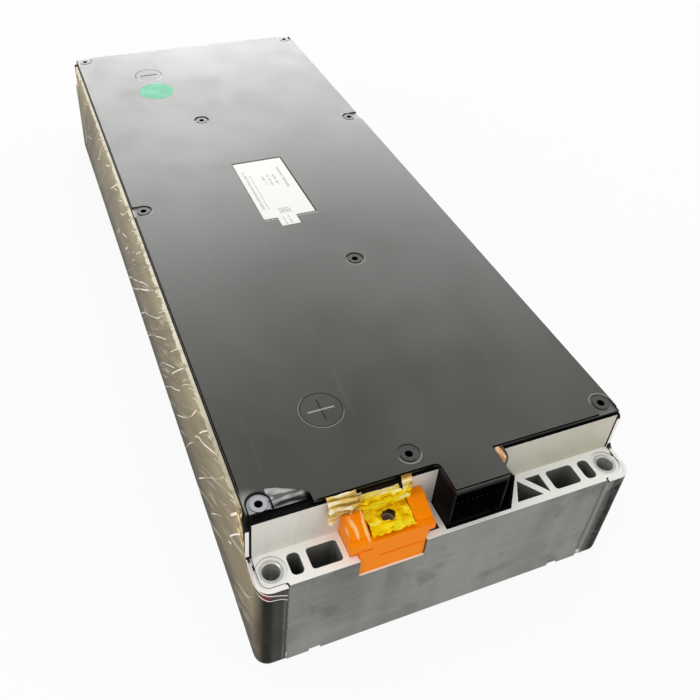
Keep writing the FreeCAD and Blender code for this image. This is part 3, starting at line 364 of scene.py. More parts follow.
wall_plane = 0.2750
pocket_back = 0.2761
pocket_mouth = 0.2937
boss_place = (0.1042, 0.2882)
boss_radius = 0.0050
boss_side = -0.0960
extrusion, plate_tree, plate_surface = finish_slot("extruded_aluminium")
plate_at = object_place(plate_tree)
plate_x, plate_y = axes_of(plate_tree, plate_at, "XY")
plate_out = absolute(plate_tree, plate_y)
plate_lines = apply_effect(plate_tree, drawn_lines, {
    "Vector": plate_at, "Stretch": (14.0, 14.0, 2600.0)})
plate_marks = apply_effect(plate_tree, handling, {"Vector": plate_at, "Patch size": 0.035})
plate_bands = speckle(plate_tree, stretched(plate_tree, plate_at, (46.0, 46.0, 5.0)), 1.0, 2.0)
plate_stain = speckle(plate_tree, plate_at, 34.0, 3.0, 0.6)
plate_rub = speckle(plate_tree, stretched(plate_tree, plate_at, (240.0, 240.0, 16.0)), 1.0, 3.0)

# The wall behind the box is paler and turns warmer to the right; the pocket's
# floor is a plain grey.
plate_wall = span(plate_tree, plate_out, wall_plane + 0.0002, wall_plane - 0.0002)
plate_pocket = both(
    plate_tree, span(plate_tree, plate_out, pocket_back - 0.0001, pocket_back + 0.0001),
    span(plate_tree, plate_out, pocket_mouth + 0.0001, pocket_mouth - 0.0001))
wall_tone = coats(
    plate_tree, colour(0.78, 0.77, 0.70),
    (span(plate_tree, plate_x, -0.04, 0.10), colour(0.60, 0.57, 0.46)),
    (span(plate_tree, plate_rub, 0.50, 0.70, 0.0, 0.12), colour(0.40, 0.39, 0.34)))
plate_side = coats(
    plate_tree, colour(0.22, 0.22, 0.20),
    (plate_marks["Smudge"], colour(0.15, 0.15, 0.14)),
    (span(plate_tree, plate_lines["Broad"], 0.42, 0.60, 0.0, 0.15), colour(0.30, 0.30, 0.28)),
    (span(plate_tree, plate_bands, 0.44, 0.62, 0.0, 0.45), colour(0.27, 0.27, 0.25)),
    (span(plate_tree, plate_stain, 0.54, 0.68, 0.0, 0.55), colour(0.090, 0.090, 0.082)),
    (plate_wall, wall_tone), (plate_pocket, colour(0.20, 0.21, 0.19)))

# The sawn top has fine mill lines and, round the left boss, a dark outline: painted shade of the
# gap between the end plate and the side plate's flange.
plate_mill = apply_effect(plate_tree, drawn_lines, {
    "Vector": plate_at, "Stretch": (1400.0, 30.0, 30.0)})
boss_far = distance_to(
    plate_tree, either(plate_tree, absolute(plate_tree, plate_x), boss_place[0]),
    either(plate_tree, plate_out, boss_place[1]), boss_place)
boss_gap_shade = both(plate_tree, box_mask(plate_tree, boss_far, boss_radius, 0.00022, 0.0001),
                 span(plate_tree, plate_x, boss_side + 0.0002, boss_side - 0.0002))
plate_top = coats(plate_tree, colour(0.96, 0.955, 0.90),
                  (plate_mill["Fine"], colour(1.0, 1.0, 0.96)),
                  (boss_gap_shade, colour(0.10, 0.08, 0.07)))
plate_up = facing_up(plate_tree)
plate_bright = either(plate_tree, either(plate_tree, plate_up, plate_wall), plate_pocket)
plate_metal = span(plate_tree, plate_bright, 0.0, 1.0, 0.85, 0.15)
plate_rough = span(plate_tree, plate_lines["Fine"], 0.3, 0.7, 0.34, 0.50)
give(plate_surface, "Base Color", blend(plate_tree, plate_up, plate_side, plate_top))
give(plate_surface, "Metallic", less(plate_tree, plate_metal, both(plate_tree, plate_up, 0.15)))
give(plate_surface, "Roughness",
     sum_of(plate_tree, plate_rough, both(plate_tree, plate_bright, 0.10)))
give(plate_surface, "Normal", relief(plate_tree, plate_lines["Fine"], 0.25, 0.0002))
wear(["end_plate_front", "end_plate_rear"], extrusion)


# ----------------------------------------------------------- mounting sleeves
# Four turned steel sleeves, zinc plated, pressed into the corner bores. Each one
# reaches from the base up to the top of its corner.
sleeve_steel = speckled("sleeve_steel", 500.0, colour(0.56, 0.56, 0.54), colour(0.84, 0.84, 0.81),
                        Metallic=0.6, Roughness=0.32)
wear(["mounting_sleeves"], sleeve_steel)


# ---------------------------------------------------------------- side plates
# Folded aluminium sheet. Its cut edge shows bright where the ends step down round
# the corners. The bend at the top and the upper part of each end are painted black: painted shade.
pitch_black = colour(0.004, 0.004, 0.004)
step_from = 0.2744
step_to = 0.2749
lip_from = 0.0775
lip_end = 0.2665
folded_sheet, fold_tree, fold_surface = finish_slot("folded_aluminium", Specular_IOR_Level=0.25)
fold_at = object_place(fold_tree)
fold_x, fold_y, fold_z = axes_of(fold_tree, fold_at, "XYZ")
fold_out = absolute(fold_tree, fold_y)
fold_up = facing_up(fold_tree)
fold_marks = apply_effect(fold_tree, handling, {"Vector": fold_at, "Patch size": 0.02})
fold_lines = apply_effect(fold_tree, drawn_lines, {
    "Vector": fold_at, "Stretch": (900.0, 8.0, 900.0)})
fold_seam = both(fold_tree, span(fold_tree, fold_x, 0.1010, 0.0975),
                 span(fold_tree, fold_x, 0.0900, 0.0905))
fold_end = span(fold_tree, fold_out, step_from - 0.00005, step_from + 0.00005)
fold_step = both(fold_tree, fold_end,
                 span(fold_tree, fold_out, step_to + 0.0001, step_to - 0.0001))
fold_cut = either(fold_tree, both(fold_tree, fold_up, fold_end), fold_step)
fold_ledge_shade = less(fold_tree, fold_up, fold_end)
fold_lip_shade = both(fold_tree, span(fold_tree, fold_z, lip_from - 0.0005, lip_from + 0.0005),
                span(fold_tree, fold_out, lip_end - 0.0005, lip_end + 0.0005))
fold_dull = either(fold_tree, either(fold_tree, fold_cut, fold_ledge_shade), fold_lip_shade)
give(fold_surface, "Base Color", coats(
    fold_tree, colour(0.050, 0.050, 0.043),
    (fold_marks["Smudge"], colour(0.020, 0.020, 0.017)),
    (fold_seam, colour(0.18, 0.18, 0.165)), (fold_ledge_shade, pitch_black),
    (fold_lip_shade, pitch_black), (fold_cut, colour(0.95, 0.94, 0.90))))
give(fold_surface, "Metallic", span(fold_tree, fold_dull, 0.0, 1.0, 0.9, 0.0))
give(fold_surface, "Roughness", span(fold_tree, fold_dull, 0.0, 1.0, 0.42, 0.9))
give(fold_surface, "Normal", relief(fold_tree, fold_lines["Fine"], 0.2, 0.0002))
wear(["side_plate_left", "side_plate_right"], folded_sheet)


# ------------------------------------------------------------------ side film
# Clear protective film with a beige tint, laid on each side plate and creased all
# over. It turns both corners and is cut off there below the plate's edge.
side_skin, skin_tree, skin_surface = finish_slot(
    "side_skin", Roughness=0.42, Specular_IOR_Level=0.02)
skin_at = object_place(skin_tree)
skin_x, skin_y, skin_z = axes_of(skin_tree, skin_at, "XYZ")
skin_out = absolute(skin_tree, skin_y)
skin_across = absolute(skin_tree, skin_x)
# Lengthwise streaks give painted sheen to the film and a little of its relief.
skin_sheen_streaks = apply_effect(skin_tree, drawn_lines, {
    "Vector": skin_at, "Stretch": (300.0, 7.0, 300.0)})

# Folds run down and away from the connector end, long along that slope.
crease_slope = 0.83
crease_draw = 0.10
skin_run = put(skin_tree, "ShaderNodeCombineXYZ", {
    "X": sum_of(skin_tree, skin_z, both(skin_tree, skin_y, crease_slope)),
    "Y": both(skin_tree, skin_y, crease_draw), "Z": skin_across}).outputs[0]
skin_patch = speckle(skin_tree, skin_run, 40.0, 4.0, 0.62)
skin_fold = speckle(skin_tree, skin_run, 170.0, 3.0, 0.6)
# Pale crease lines: painted highlights on the folds.
skin_crease_highlight = span(skin_tree, skin_fold, 0.57, 0.70, 0.0, 0.40)
skin_far = span(skin_tree, skin_y, -0.16, 0.26, smooth=False)
skin_foot_shade = blend(skin_tree, skin_far, colour(0.050, 0.043, 0.027), colour(0.085, 0.075, 0.052))
skin_middle_shade = blend(skin_tree, skin_far, colour(0.205, 0.166, 0.096), colour(0.205, 0.180, 0.128))

# A pale band along the top edge, where the film rolls over the bend, is a painted highlight, and
# the torn edge at each corner is golden.
skin_edge = sum_of(skin_tree, skin_z, both(skin_tree, skin_fold, 0.016))
skin_shoulder_highlight = both(skin_tree, span(skin_tree, skin_edge, 0.1075, 0.1120),
                 span(skin_tree, skin_y, -0.24, -0.12, 0.45, 1.0))
skin_ragged = sum_of(skin_tree, skin_out, both(skin_tree, skin_fold, 0.010))
skin_torn = both(skin_tree, span(skin_tree, skin_ragged, 0.2640, 0.2690),
                 span(skin_tree, skin_edge, 0.0850, 0.0960))
skin_gold = blend(skin_tree, span(skin_tree, speckle(skin_tree, skin_at, 240.0, 2.0), 0.42, 0.58),
                  colour(0.22, 0.135, 0.050), colour(0.86, 0.68, 0.36))
# The film is painted darkest at its foot and lighter up the side: painted shade and light. Towards
# the far end its lower tones are lighter.
skin_wall = coats(
    skin_tree, skin_foot_shade,
    (span(skin_tree, skin_z, 0.006, 0.040), skin_middle_shade),
    (span(skin_tree, skin_z, 0.055, 0.097), colour(0.34, 0.275, 0.160)),
    (span(skin_tree, skin_patch, 0.42, 0.62, 0.0, 0.50), colour(0.080, 0.062, 0.034)),
    (span(skin_tree, skin_sheen_streaks["Fine"], 0.52, 0.72, 0.0, 0.22), colour(0.50, 0.44, 0.31)),
    (skin_shoulder_highlight, colour(0.82, 0.78, 0.63)), (skin_crease_highlight, colour(0.66, 0.60, 0.46)),
    (both(skin_tree, skin_torn, 0.95), skin_gold))

# Round the corner the left flange has upright bands of grey; the right one is
# darker towards the bend, painted shade.
flange_grey = colour(0.17, 0.17, 0.155)
skin_right = coats(
    skin_tree, flange_grey,
    (span(skin_tree, skin_across, 0.0960, 0.1035), colour(0.010, 0.010, 0.008)),
    (span(skin_tree, skin_fold, 0.50, 0.62, 0.0, 0.12), colour(0.30, 0.30, 0.27)))
skin_flange = coats(
    skin_tree, colour(0.15, 0.125, 0.085),
    (span(skin_tree, skin_across, 0.1120, 0.1085), colour(0.014, 0.016, 0.010)),
    (span(skin_tree, skin_across, 0.1065, 0.1030), colour(0.058, 0.060, 0.056)),
    (span(skin_tree, skin_across, 0.0995, 0.0980), flange_grey),
    (span(skin_tree, skin_patch, 0.40, 0.62, 0.0, 0.5), colour(0.030, 0.030, 0.024)),
    (span(skin_tree, skin_x, -0.01, 0.01), skin_right))
skin_lift = sum_of(skin_tree, both(skin_tree, skin_crease_highlight, 0.5),
                   sum_of(skin_tree, skin_patch, skin_sheen_streaks["Fine"]))
give(skin_surface, "Base Color",
     blend(skin_tree, span(skin_tree, skin_out, 0.2865, 0.2925), skin_wall, skin_flange))
give(skin_surface, "Normal", relief(skin_tree, skin_lift, 0.35, 0.0010))


def held(value):
    """A value kept between 0 and 1."""
    return min(1.0, max(0.0, value))


def push(bm, edges, step, count):
    """Draws a sheet on from its edge, in so many equal steps; returns the new edge."""
    for _ in range(count):
        made = bmesh.ops.extrude_edge_only(bm, edges=edges)["geom"]
        moved = [v for v in made if isinstance(v, bmesh.types.BMVert)]
        bmesh.ops.translate(bm, vec=step, verts=moved)
        edges = [e for e in made if isinstance(e, bmesh.types.BMEdge)]
    return edges


def side_skin_piece(name, side):
    """Film of one side, drawn from flange to flange round both corners."""
    lo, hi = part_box("side_film_right")
    inset = 0.00012
    outer = hi.x - inset
    end = hi.y - inset
    low = lo.z
    shoulder = hi.z
    bend = 0.0083
    tip = 0.0979
    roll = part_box("side_plate_right")[1].z - shoulder + 0.00018
    reach = roll * math.radians(66.0)
    upright = 0.78
    rolled = 0.22
    bm = bmesh.new()
    foot = bm.verts.new((tip, -end, 0.0))
    top = bm.verts.new((tip, -end, 1.0))
    bmesh.ops.subdivide_edges(bm, edges=[bm.edges.new((foot, top))], cuts=47)
    for vertex in bm.verts:
        level = vertex.co.z
        vertex.co.z = (low + (shoulder - low) * level / upright if level < upright
                       else shoulder + reach * (level - upright) / rolled)
    rail = list(bm.edges)

    def turn(edges, centre_y):
        made = bmesh.ops.spin(bm, geom=edges, cent=(outer - bend, centre_y, 0.0),
                              axis=(0.0, 0.0, 1.0), angle=math.radians(90.0), steps=8,
                              use_merge=False)["geom_last"]
        return [e for e in made if isinstance(e, bmesh.types.BMEdge)]

    flange_steps = 4
    wall_steps = 260
    flange_step = (outer - bend - tip) / flange_steps
    rail = push(bm, rail, (flange_step, 0.0, 0.0), flange_steps)
    rail = turn(rail, -end + bend)
    rail = push(bm, rail, (0.0, (end - bend) / (wall_steps / 2), 0.0), wall_steps)
    rail = turn(rail, end - bend)
    push(bm, rail, (-flange_step, 0.0, 0.0), flange_steps)
    bmesh.ops.remove_doubles(bm, verts=bm.verts, dist=0.00001)

    # The cut at the ends slopes down over the flange; above, the film rolls over
    # the plate's edge.
    wall_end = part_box("side_liner_right")[1].y + 0.0045
    full = shoulder + reach - low
    for vertex in bm.verts:
        x, y, z = vertex.co
        wave = noise.noise(Vector((x * 60.0, y * 60.0, 7.0 * side)))
        cut = 0.0657 + 0.0100 * held((abs(x) - 0.0970) / 0.0152) ** 1.6 + 0.0004 * wave
        past = held((abs(y) - wall_end + 0.010) / 0.0095)
        ease = 1.0 - math.sqrt(max(0.0, 1.0 - past * past))
        limit = low + full - ease * (low + full - cut)
        z = low + (z - low) * (limit - low) / full
        if z > shoulder:
            angle = (z - shoulder) / roll
            x = outer - roll + roll * math.cos(angle)
            z = shoulder + roll * math.sin(angle)
        vertex.co = (x, y, z)
    bm.normal_update()
    ripple_depth = 0.0001
    for vertex in bm.verts:
        x, y, z = vertex.co
        ripple = noise.noise(Vector((x * 90.0, y * 55.0 + 40 * side, z * 24.0)))
        fine = noise.noise(Vector((x * 200.0, y * 190.0, z * 70.0 + side)))
        depth = held(0.5 + 0.7 * ripple + 0.3 * fine)
        bent = max(0.0, (z - shoulder) / roll)
        vertex.co = (vertex.co
                     - vertex.normal * depth * ripple_depth * max(0.0, 1.0 - 4.0 * bent))
    for face in bm.faces:
        face.smooth = True
    if side < 0:
        bmesh.ops.scale(bm, vec=(-1.0, 1.0, 1.0), verts=bm.verts)
        bmesh.ops.reverse_faces(bm, faces=bm.faces)
    return piece_of(name, bm, side_skin)


for skin_name, skin_side in (("left", -1), ("right", 1)):
    skin = side_skin_piece(f"creased_film_{skin_name}", skin_side)
    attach(skin, "root")
    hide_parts(f"side_film_{skin_name}")


# -------------------------------------------------- film edges and weld beads
# Where the film is cut off at a left corner its two plies part: thin pale edges run
# round the bend with a reddish gap between them. In each flange's seam with the end
# plate lies a weld bead, thicker at the right.
edge_pale = speckled("film_edge_pale", 260.0, colour(0.80, 0.60, 0.60), colour(1.0, 0.90, 0.88),
                     Roughness=0.4, Specular_IOR_Level=0.2)
gap_red = speckled("film_gap", 300.0, colour(0.06, 0.008, 0.010), colour(0.22, 0.07, 0.07),
                   Roughness=0.5, Specular_IOR_Level=0.05)
weld_grey, weld_tree, weld_surface = finish_slot("weld_grey", Roughness=0.45)
weld_at = object_place(weld_tree)
weld_x, weld_z = axes_of(weld_tree, weld_at, "XZ")
weld_noise = speckle(weld_tree, weld_at, 420.0)
weld_left = blend(weld_tree, span(weld_tree, weld_noise, 0.35, 0.65), colour(0.03, 0.03, 0.027),
                  colour(0.26, 0.26, 0.23))
weld_right = blend(weld_tree, weld_noise, colour(0.17, 0.17, 0.155), colour(0.25, 0.25, 0.23))
give(weld_surface, "Base Color", coats(
    weld_tree, weld_left, (span(weld_tree, weld_x, -0.01, 0.01), weld_right),
    (span(weld_tree, weld_z, 0.0085, 0.0065), colour(0.85, 0.84, 0.76))))
give(weld_surface, "Metallic", span(weld_tree, weld_x, -0.01, 0.01, 0.6, 0.0))


def through(points, steps):
    """Smooth curve through points."""
    path = []
    for index in range(len(points) - 1):
        before = points[max(index - 1, 0)]
        start, stop = points[index], points[index + 1]
        after = points[min(index + 2, len(points) - 1)]
        for step in range(steps):
            t = step / steps
            path.append(0.5 * (2 * start + (stop - before) * t
                               + (2 * before - 5 * start + 4 * stop - after) * t * t
                               + (3 * start - before - 3 * stop + after) * t ** 3))
    return path + [points[-1]]


def thread(bm, path, radius, sides=8):
    """Round cord along a path."""
    ahead = (path[1] - path[0]).normalized()
    ring = bmesh.ops.create_circle(bm, cap_ends=True, radius=radius, segments=sides)["verts"]
    turn = Vector((0.0, 0.0, 1.0)).rotation_difference(ahead)
    bmesh.ops.rotate(bm, verts=ring, cent=(0, 0, 0), matrix=turn.to_matrix())
    bmesh.ops.translate(bm, verts=ring, vec=path[0])
    face = ring[0].link_faces[0]
    for index in range(1, len(path)):
        step = path[index] - path[index - 1]
        out = bmesh.ops.extrude_face_region(bm, geom=[face])["geom"]
        bmesh.ops.delete(bm, geom=[face], context="FACES_ONLY")
        face = next(g for g in out if isinstance(g, bmesh.types.BMFace))
        verts = list(face.verts)
        bmesh.ops.translate(bm, verts=verts, vec=step)
        onward = path[min(index + 1, len(path) - 1)] - path[index - 1]
        if onward.length > 1e-9:
            bend = ahead.rotation_difference(onward.normalized())
            bmesh.ops.rotate(bm, verts=verts, cent=path[index], matrix=bend.to_matrix())
            ahead = onward.normalized()


def corner_piece(name, bm, material, side, end):
    """Places a piece modelled at the left corner of the connector end at any corner."""
    bmesh.ops.scale(bm, vec=(-side, -end, 1.0), verts=bm.verts)
    bmesh.ops.recalc_face_normals(bm, faces=bm.faces)
    for face in bm.faces:
        face.smooth = True
    piece = piece_of(name, bm, material)
    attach(piece, "root")


# Creases of the film: fine ridges, each a smooth line through points given as
# length and height in millimetres, with its half width, and painted pale as painted
# highlights. The long ones are laid one by one, and short ones hang from the top edge at random.
creases = [
    (0.42, (-240.8, 102.7), (-229, 85), (-206, 57), (-176.7, 19.3)),
    (0.60, (-228, 103.5), (-206.7, 85), (-195, 75), (-183, 67), (-173, 56)),
    (0.30, (-169, 46), (-157, 31), (-142, 9)),
    (0.45, (-208, 101), (-197, 88), (-187, 75)),
    (0.45, (-183, 91), (-174, 78), (-167, 68)),
    (0.34, (-167, 68), (-145, 43), (-120, 18)),
    (0.34, (-175, 103.5), (-160, 89), (-146, 74)),
    (0.30, (-171, 103.5), (-158, 91), (-150, 82)),
    (0.46, (-160, 103), (-140, 82), (-113, 52)),
    (0.34, (-143, 103), (-131, 91), (-116, 75)),
    (0.34, (-138, 61), (-120, 44), (-107, 33), (-83, 9)),
    (0.80, (-262, 99), (-256, 90), (-250, 81)),
    (0.50, (-267, 88), (-258, 75), (-247.5, 58)),
    (0.40, (-243, 81), (-237, 73)),
    (0.50, (-250, 54), (-244, 48)),
    (0.34, (-285, 58), (-279, 49), (-272, 41)),
    (0.30, (-233, 56), (-220, 40), (-207, 23)),
    (0.62, (-87, 103.5), (-58, 81), (-33, 61), (-8, 42), (18, 21), (42, 4)),
    (0.44, (-58, 83), (-28, 64), (2, 42), (33, 21), (50, 9)),
    (0.34, (-112, 103.5), (-98, 91), (-85, 79)),
    (0.30, (-107, 103.5), (-96, 93), (-86, 84)),
    (0.38, (-105, 76), (-84, 59), (-65, 43), (-42, 24), (-25, 8)),
    (0.36, (-85, 79), (-77, 71), (-45, 46), (-18, 26), (2, 8)),
    (0.34, (-125, 69), (-100, 48), (-75, 26), (-65, 13)),
    (0.34, (-60, 103.5), (-44, 91), (-32, 81)),
    (0.34, (-35, 98), (-20, 86), (-8, 76)),
    (0.34, (-18, 103), (2, 91)),
    (0.80, (3, 63), (10, 57), (18, 51)),
    (0.44, (10, 103), (38, 81), (57, 70)),
    (0.34, (30, 99), (60, 81)),
    (0.60, (32, 63), (45, 56), (58, 49)),
    (0.70, (38, 49), (50, 39)),
    (0.60, (77, 103.5), (92, 94), (110, 84)),
    (0.50, (55, 99), (80, 81), (105, 64)),
    (0.36, (55, 93), (77, 81)),
    (0.50, (158, 63), (172, 54)),
    (0.60, (252, 43), (265, 23)),
    (0.34, (120, 103), (150, 88)),
    (0.34, (185, 103), (222, 86)),
    (0.34, (200, 60), (240, 42))]
film_top = 103.6
crease_dice = random.Random(5)
for _ in range(46):
    from_y = crease_dice.uniform(-262.0, 235.0)
    drop = crease_dice.uniform(4.0, 12.0)
    half_width = crease_dice.uniform(0.22, 0.36)
    lean = crease_dice.uniform(1.0, 1.4)
    creases.append((half_width, (from_y, film_top), (from_y + 0.62 * drop, film_top - 0.5 * drop),
                    (from_y + lean * drop, film_top - drop)))
ridge_highlight, ridge_tree, ridge_surface = finish_slot(
    "crease_highlight", Roughness=0.4, Specular_IOR_Level=0.1)
ridge_noise = speckle(ridge_tree, object_place(ridge_tree), 28.0, 1.0)
give(ridge_surface, "Base Color", blend(
    ridge_tree, span(ridge_tree, ridge_noise, 0.36, 0.60), colour(0.38, 0.33, 0.23),
    colour(0.98, 0.90, 0.72)))
ridge_height = 0.11
ridge_x = -0.11234
for crease_side, crease_name in ((-1, "left"), (1, "right")):
    ridges = bmesh.new()
    for half_width, *crease in creases:
        ridge = bmesh.new()
        thread(ridge, through([Vector((0.0, y / 1000, z / 1000)) for y, z in crease], 4),
               half_width / 1000, 6)
        bmesh.ops.scale(ridge, vec=(ridge_height / half_width, 1.0, 1.0), verts=ridge.verts)
        joined = bpy.data.meshes.new("ridge")
        ridge.to_mesh(joined)
        ridge.free()
        ridges.from_mesh(joined)
        bpy.data.meshes.remove(joined)
    bmesh.ops.translate(ridges, vec=(ridge_x, 0.0, 0.0), verts=ridges.verts)
    corner_piece(f"film_creases_{crease_name}", ridges, ridge_highlight, crease_side, -1)

# Edges of the two plies, in millimetres, from the side wall round to the flange.
upper_edge = through([Vector(p) / 1000 for p in (
    (-112.06, -276.0, 78.4), (-112.06, -282.0, 77.2), (-112.02, -288.0, 76.2),
    (-111.3, -291.6, 75.6), (-109.6, -294.3, 75.0), (-106.8, -295.9, 74.1),
    (-103.6, -296.12, 72.9), (-100.2, -296.12, 71.4), (-97.0, -296.12, 69.6))], 4)
lower_edge = through([Vector(p) / 1000 for p in (
    (-112.06, -278.0, 75.2), (-112.06, -283.0, 75.0), (-112.02, -288.0, 74.2),
    (-111.3, -291.6, 72.6), (-109.6, -294.3, 70.8), (-106.8, -295.9, 69.4),
    (-103.6, -296.12, 68.8), (-100.2, -296.12, 67.8), (-97.0, -296.12, 65.6))], 4)
for end_name, corner_end in (("front", -1), ("rear", 1)):
    cords = bmesh.new()
    thread(cords, upper_edge, 0.00034)
    thread(cords, lower_edge, 0.00030)
    corner_piece(f"film_edges_{end_name}_left", cords, edge_pale, -1, corner_end)
    gap = bmesh.new()
    rails = []
    for path in (upper_edge, lower_edge):
        chain = [gap.verts.new(point) for point in path]
        rails += [gap.edges.new(pair) for pair in zip(chain, chain[1:])]
    bmesh.ops.bridge_loops(gap, edges=rails)
    corner_piece(f"film_gap_{end_name}_left", gap, gap_red, -1, corner_end)

# A bead wavers a little on its way up from the foot of the flange.
bead_foot = 0.0045
bead_step = 0.0022
bead_waver = 0.00010
for side_name, corner_side, bead_x, bead_y, bead_radius in (
        ("left", -1, -0.09590, -0.29465, 0.00062), ("right", 1, -0.09640, -0.29488, 0.00130)):
    bead_path = [Vector((bead_x + bead_waver * math.sin(9.0 * n), bead_y,
                         bead_foot + bead_step * n)) for n in range(33)]
    for end_name, corner_end in (("front", -1), ("rear", 1)):
        bead = bmesh.new()
        thread(bead, bead_path, bead_radius)
        corner_piece(f"weld_bead_{end_name}_{side_name}", bead, weld_grey,
                     corner_side, corner_end)


# ---------------------------------------------------- carrier and conductors
# Moulded black tray over the cells, with bright aluminium straps from cell to
# cell and copper conductors out to the terminals, painted dark brown as painted shade but for
# their ends.
tray_black = speckled("tray_black", 1500.0, colour(0.008, 0.008, 0.008), colour(0.02, 0.02, 0.02),
                      Roughness=0.5, Specular_IOR_Level=0.04)
wear(["busbar_carrier"], tray_black)

strap_metal, strap_tree, strap_surface = finish_slot("strap_metal", Metallic=1.0)
strap_lines = apply_effect(strap_tree, drawn_lines, {
    "Vector": object_place(strap_tree), "Stretch": (1500.0, 20.0, 20.0)})
give(strap_surface, "Base Color", blend(strap_tree, strap_lines["Fine"], colour(0.75, 0.75, 0.74),
                                        colour(0.9, 0.9, 0.9)))
give(strap_surface, "Roughness", span(strap_tree, strap_lines["Fine"], 0.3, 0.7, 0.2, 0.35))
wear([f"busbar_{n}" for n in range(1, 8)], strap_metal)

# Up to this distance from the middle the copper lies in the end wall's dark slot and is painted
# dark brown: painted shade.
copper_shade_end = 0.2785
copper_in_painted_shade, copper_tree, copper_surface = finish_slot("copper_in_painted_shade", Roughness=0.32)
copper_at = object_place(copper_tree)
(copper_y,) = axes_of(copper_tree, copper_at, "Y")
copper_unshaded = span(copper_tree, absolute(copper_tree, copper_y), copper_shade_end - 0.001, copper_shade_end + 0.001)
copper_ends_tone = blend(copper_tree, speckle(copper_tree, copper_at, 300.0),
                    colour(0.20, 0.11, 0.04), colour(0.42, 0.30, 0.12))
give(copper_surface, "Base Color", blend(copper_tree, copper_unshaded, colour(0.035, 0.022, 0.012),
                                         copper_ends_tone))
give(copper_surface, "Metallic", copper_unshaded)
wear(["output_busbar_positive", "output_busbar_negative"], copper_in_painted_shade)


# ------------------------------------------------------------ terminal blocks
# Glossy orange nylon moulding hung in the end plate, with a steel nut in it. The
# top of its left wing has pale streaks: painted highlights of the film over it.
wing_x = -0.05075
wing_z = 0.0880
orange_nylon, orange_tree, orange_surface = finish_slot(
    "orange_nylon", Roughness=0.26, Specular_IOR_Level=0.04)
orange_at = object_place(orange_tree)
orange_x, orange_z = axes_of(orange_tree, orange_at, "XZ")
orange_noise = speckle(orange_tree, orange_at, 120.0)
orange_wing = both(orange_tree, span(orange_tree, orange_x, wing_x + 0.00075, wing_x - 0.00075),
                   span(orange_tree, orange_z, wing_z - 0.0005, wing_z + 0.0005))
orange_wing_glint = speckle(orange_tree, stretched(orange_tree, orange_at, (600.0, 80.0, 80.0)),
                        1.0, 2.0)
orange_wing_glint = both(orange_tree, span(orange_tree, orange_wing_glint, 0.52, 0.64), orange_wing)
give(orange_surface, "Base Color", coats(
    orange_tree, colour(1.0, 0.215, 0.0), (orange_noise, colour(1.0, 0.30, 0.0)),
    (both(orange_tree, orange_wing_glint, 0.75), colour(1.0, 0.72, 0.35))))
give(orange_surface, "Normal", relief(orange_tree, orange_noise, 0.25, 0.0004))
wear(["terminal_block_positive", "terminal_block_negative"], orange_nylon)
wear(["terminal_nut_positive", "terminal_nut_negative"], sleeve_steel)


# -------------------------------------------------------------- terminal film
# Clear yellow film crumpled over the output conductor, with two flaps that stand
# up to the cover's edge and a hole over the screw.
yellow_film, yellow_tree, yellow_surface = finish_slot(
    "yellow_film", Roughness=0.22, Transmission_Weight=0.05, IOR=1.15)
yellow_at = object_place(yellow_tree)
yellow_x, yellow_z = axes_of(yellow_tree, yellow_at, "XZ")
yellow_folds = speckle(yellow_tree, stretched(yellow_tree, yellow_at, (45.0, 330.0, 330.0)),
                       1.0, 2.0, 0.5, 0.4)
# The film is painted amber in its folds and pale on its crests: painted shade and painted
# highlights on its yellow, and on the clear flaps likewise.
yellow_fold_light_shade = coats(
    yellow_tree, colour(0.66, 0.31, 0.0),
    (span(yellow_tree, yellow_folds, 0.33, 0.43), colour(1.0, 0.66, 0.0)),
    (span(yellow_tree, yellow_folds, 0.48, 0.54), colour(1.0, 0.83, 0.02)),
    (span(yellow_tree, yellow_folds, 0.60, 0.65), colour(1.0, 0.95, 0.45)))
flap_fold_light_shade = coats(
    yellow_tree, colour(0.30, 0.17, 0.03),
    (span(yellow_tree, yellow_folds, 0.36, 0.52), colour(0.88, 0.62, 0.18)),
    (span(yellow_tree, yellow_folds, 0.53, 0.60), colour(1.0, 0.93, 0.66)))
yellow_flap = either(yellow_tree, span(yellow_tree, yellow_x, -0.0510, -0.0540),
                     span(yellow_tree, yellow_z, 0.1015, 0.1040))
give(yellow_surface, "Base Color", blend(yellow_tree, yellow_flap, yellow_fold_light_shade, flap_fold_light_shade))
give(yellow_surface, "Normal", relief(yellow_tree, yellow_folds, 0.8, 0.0020))


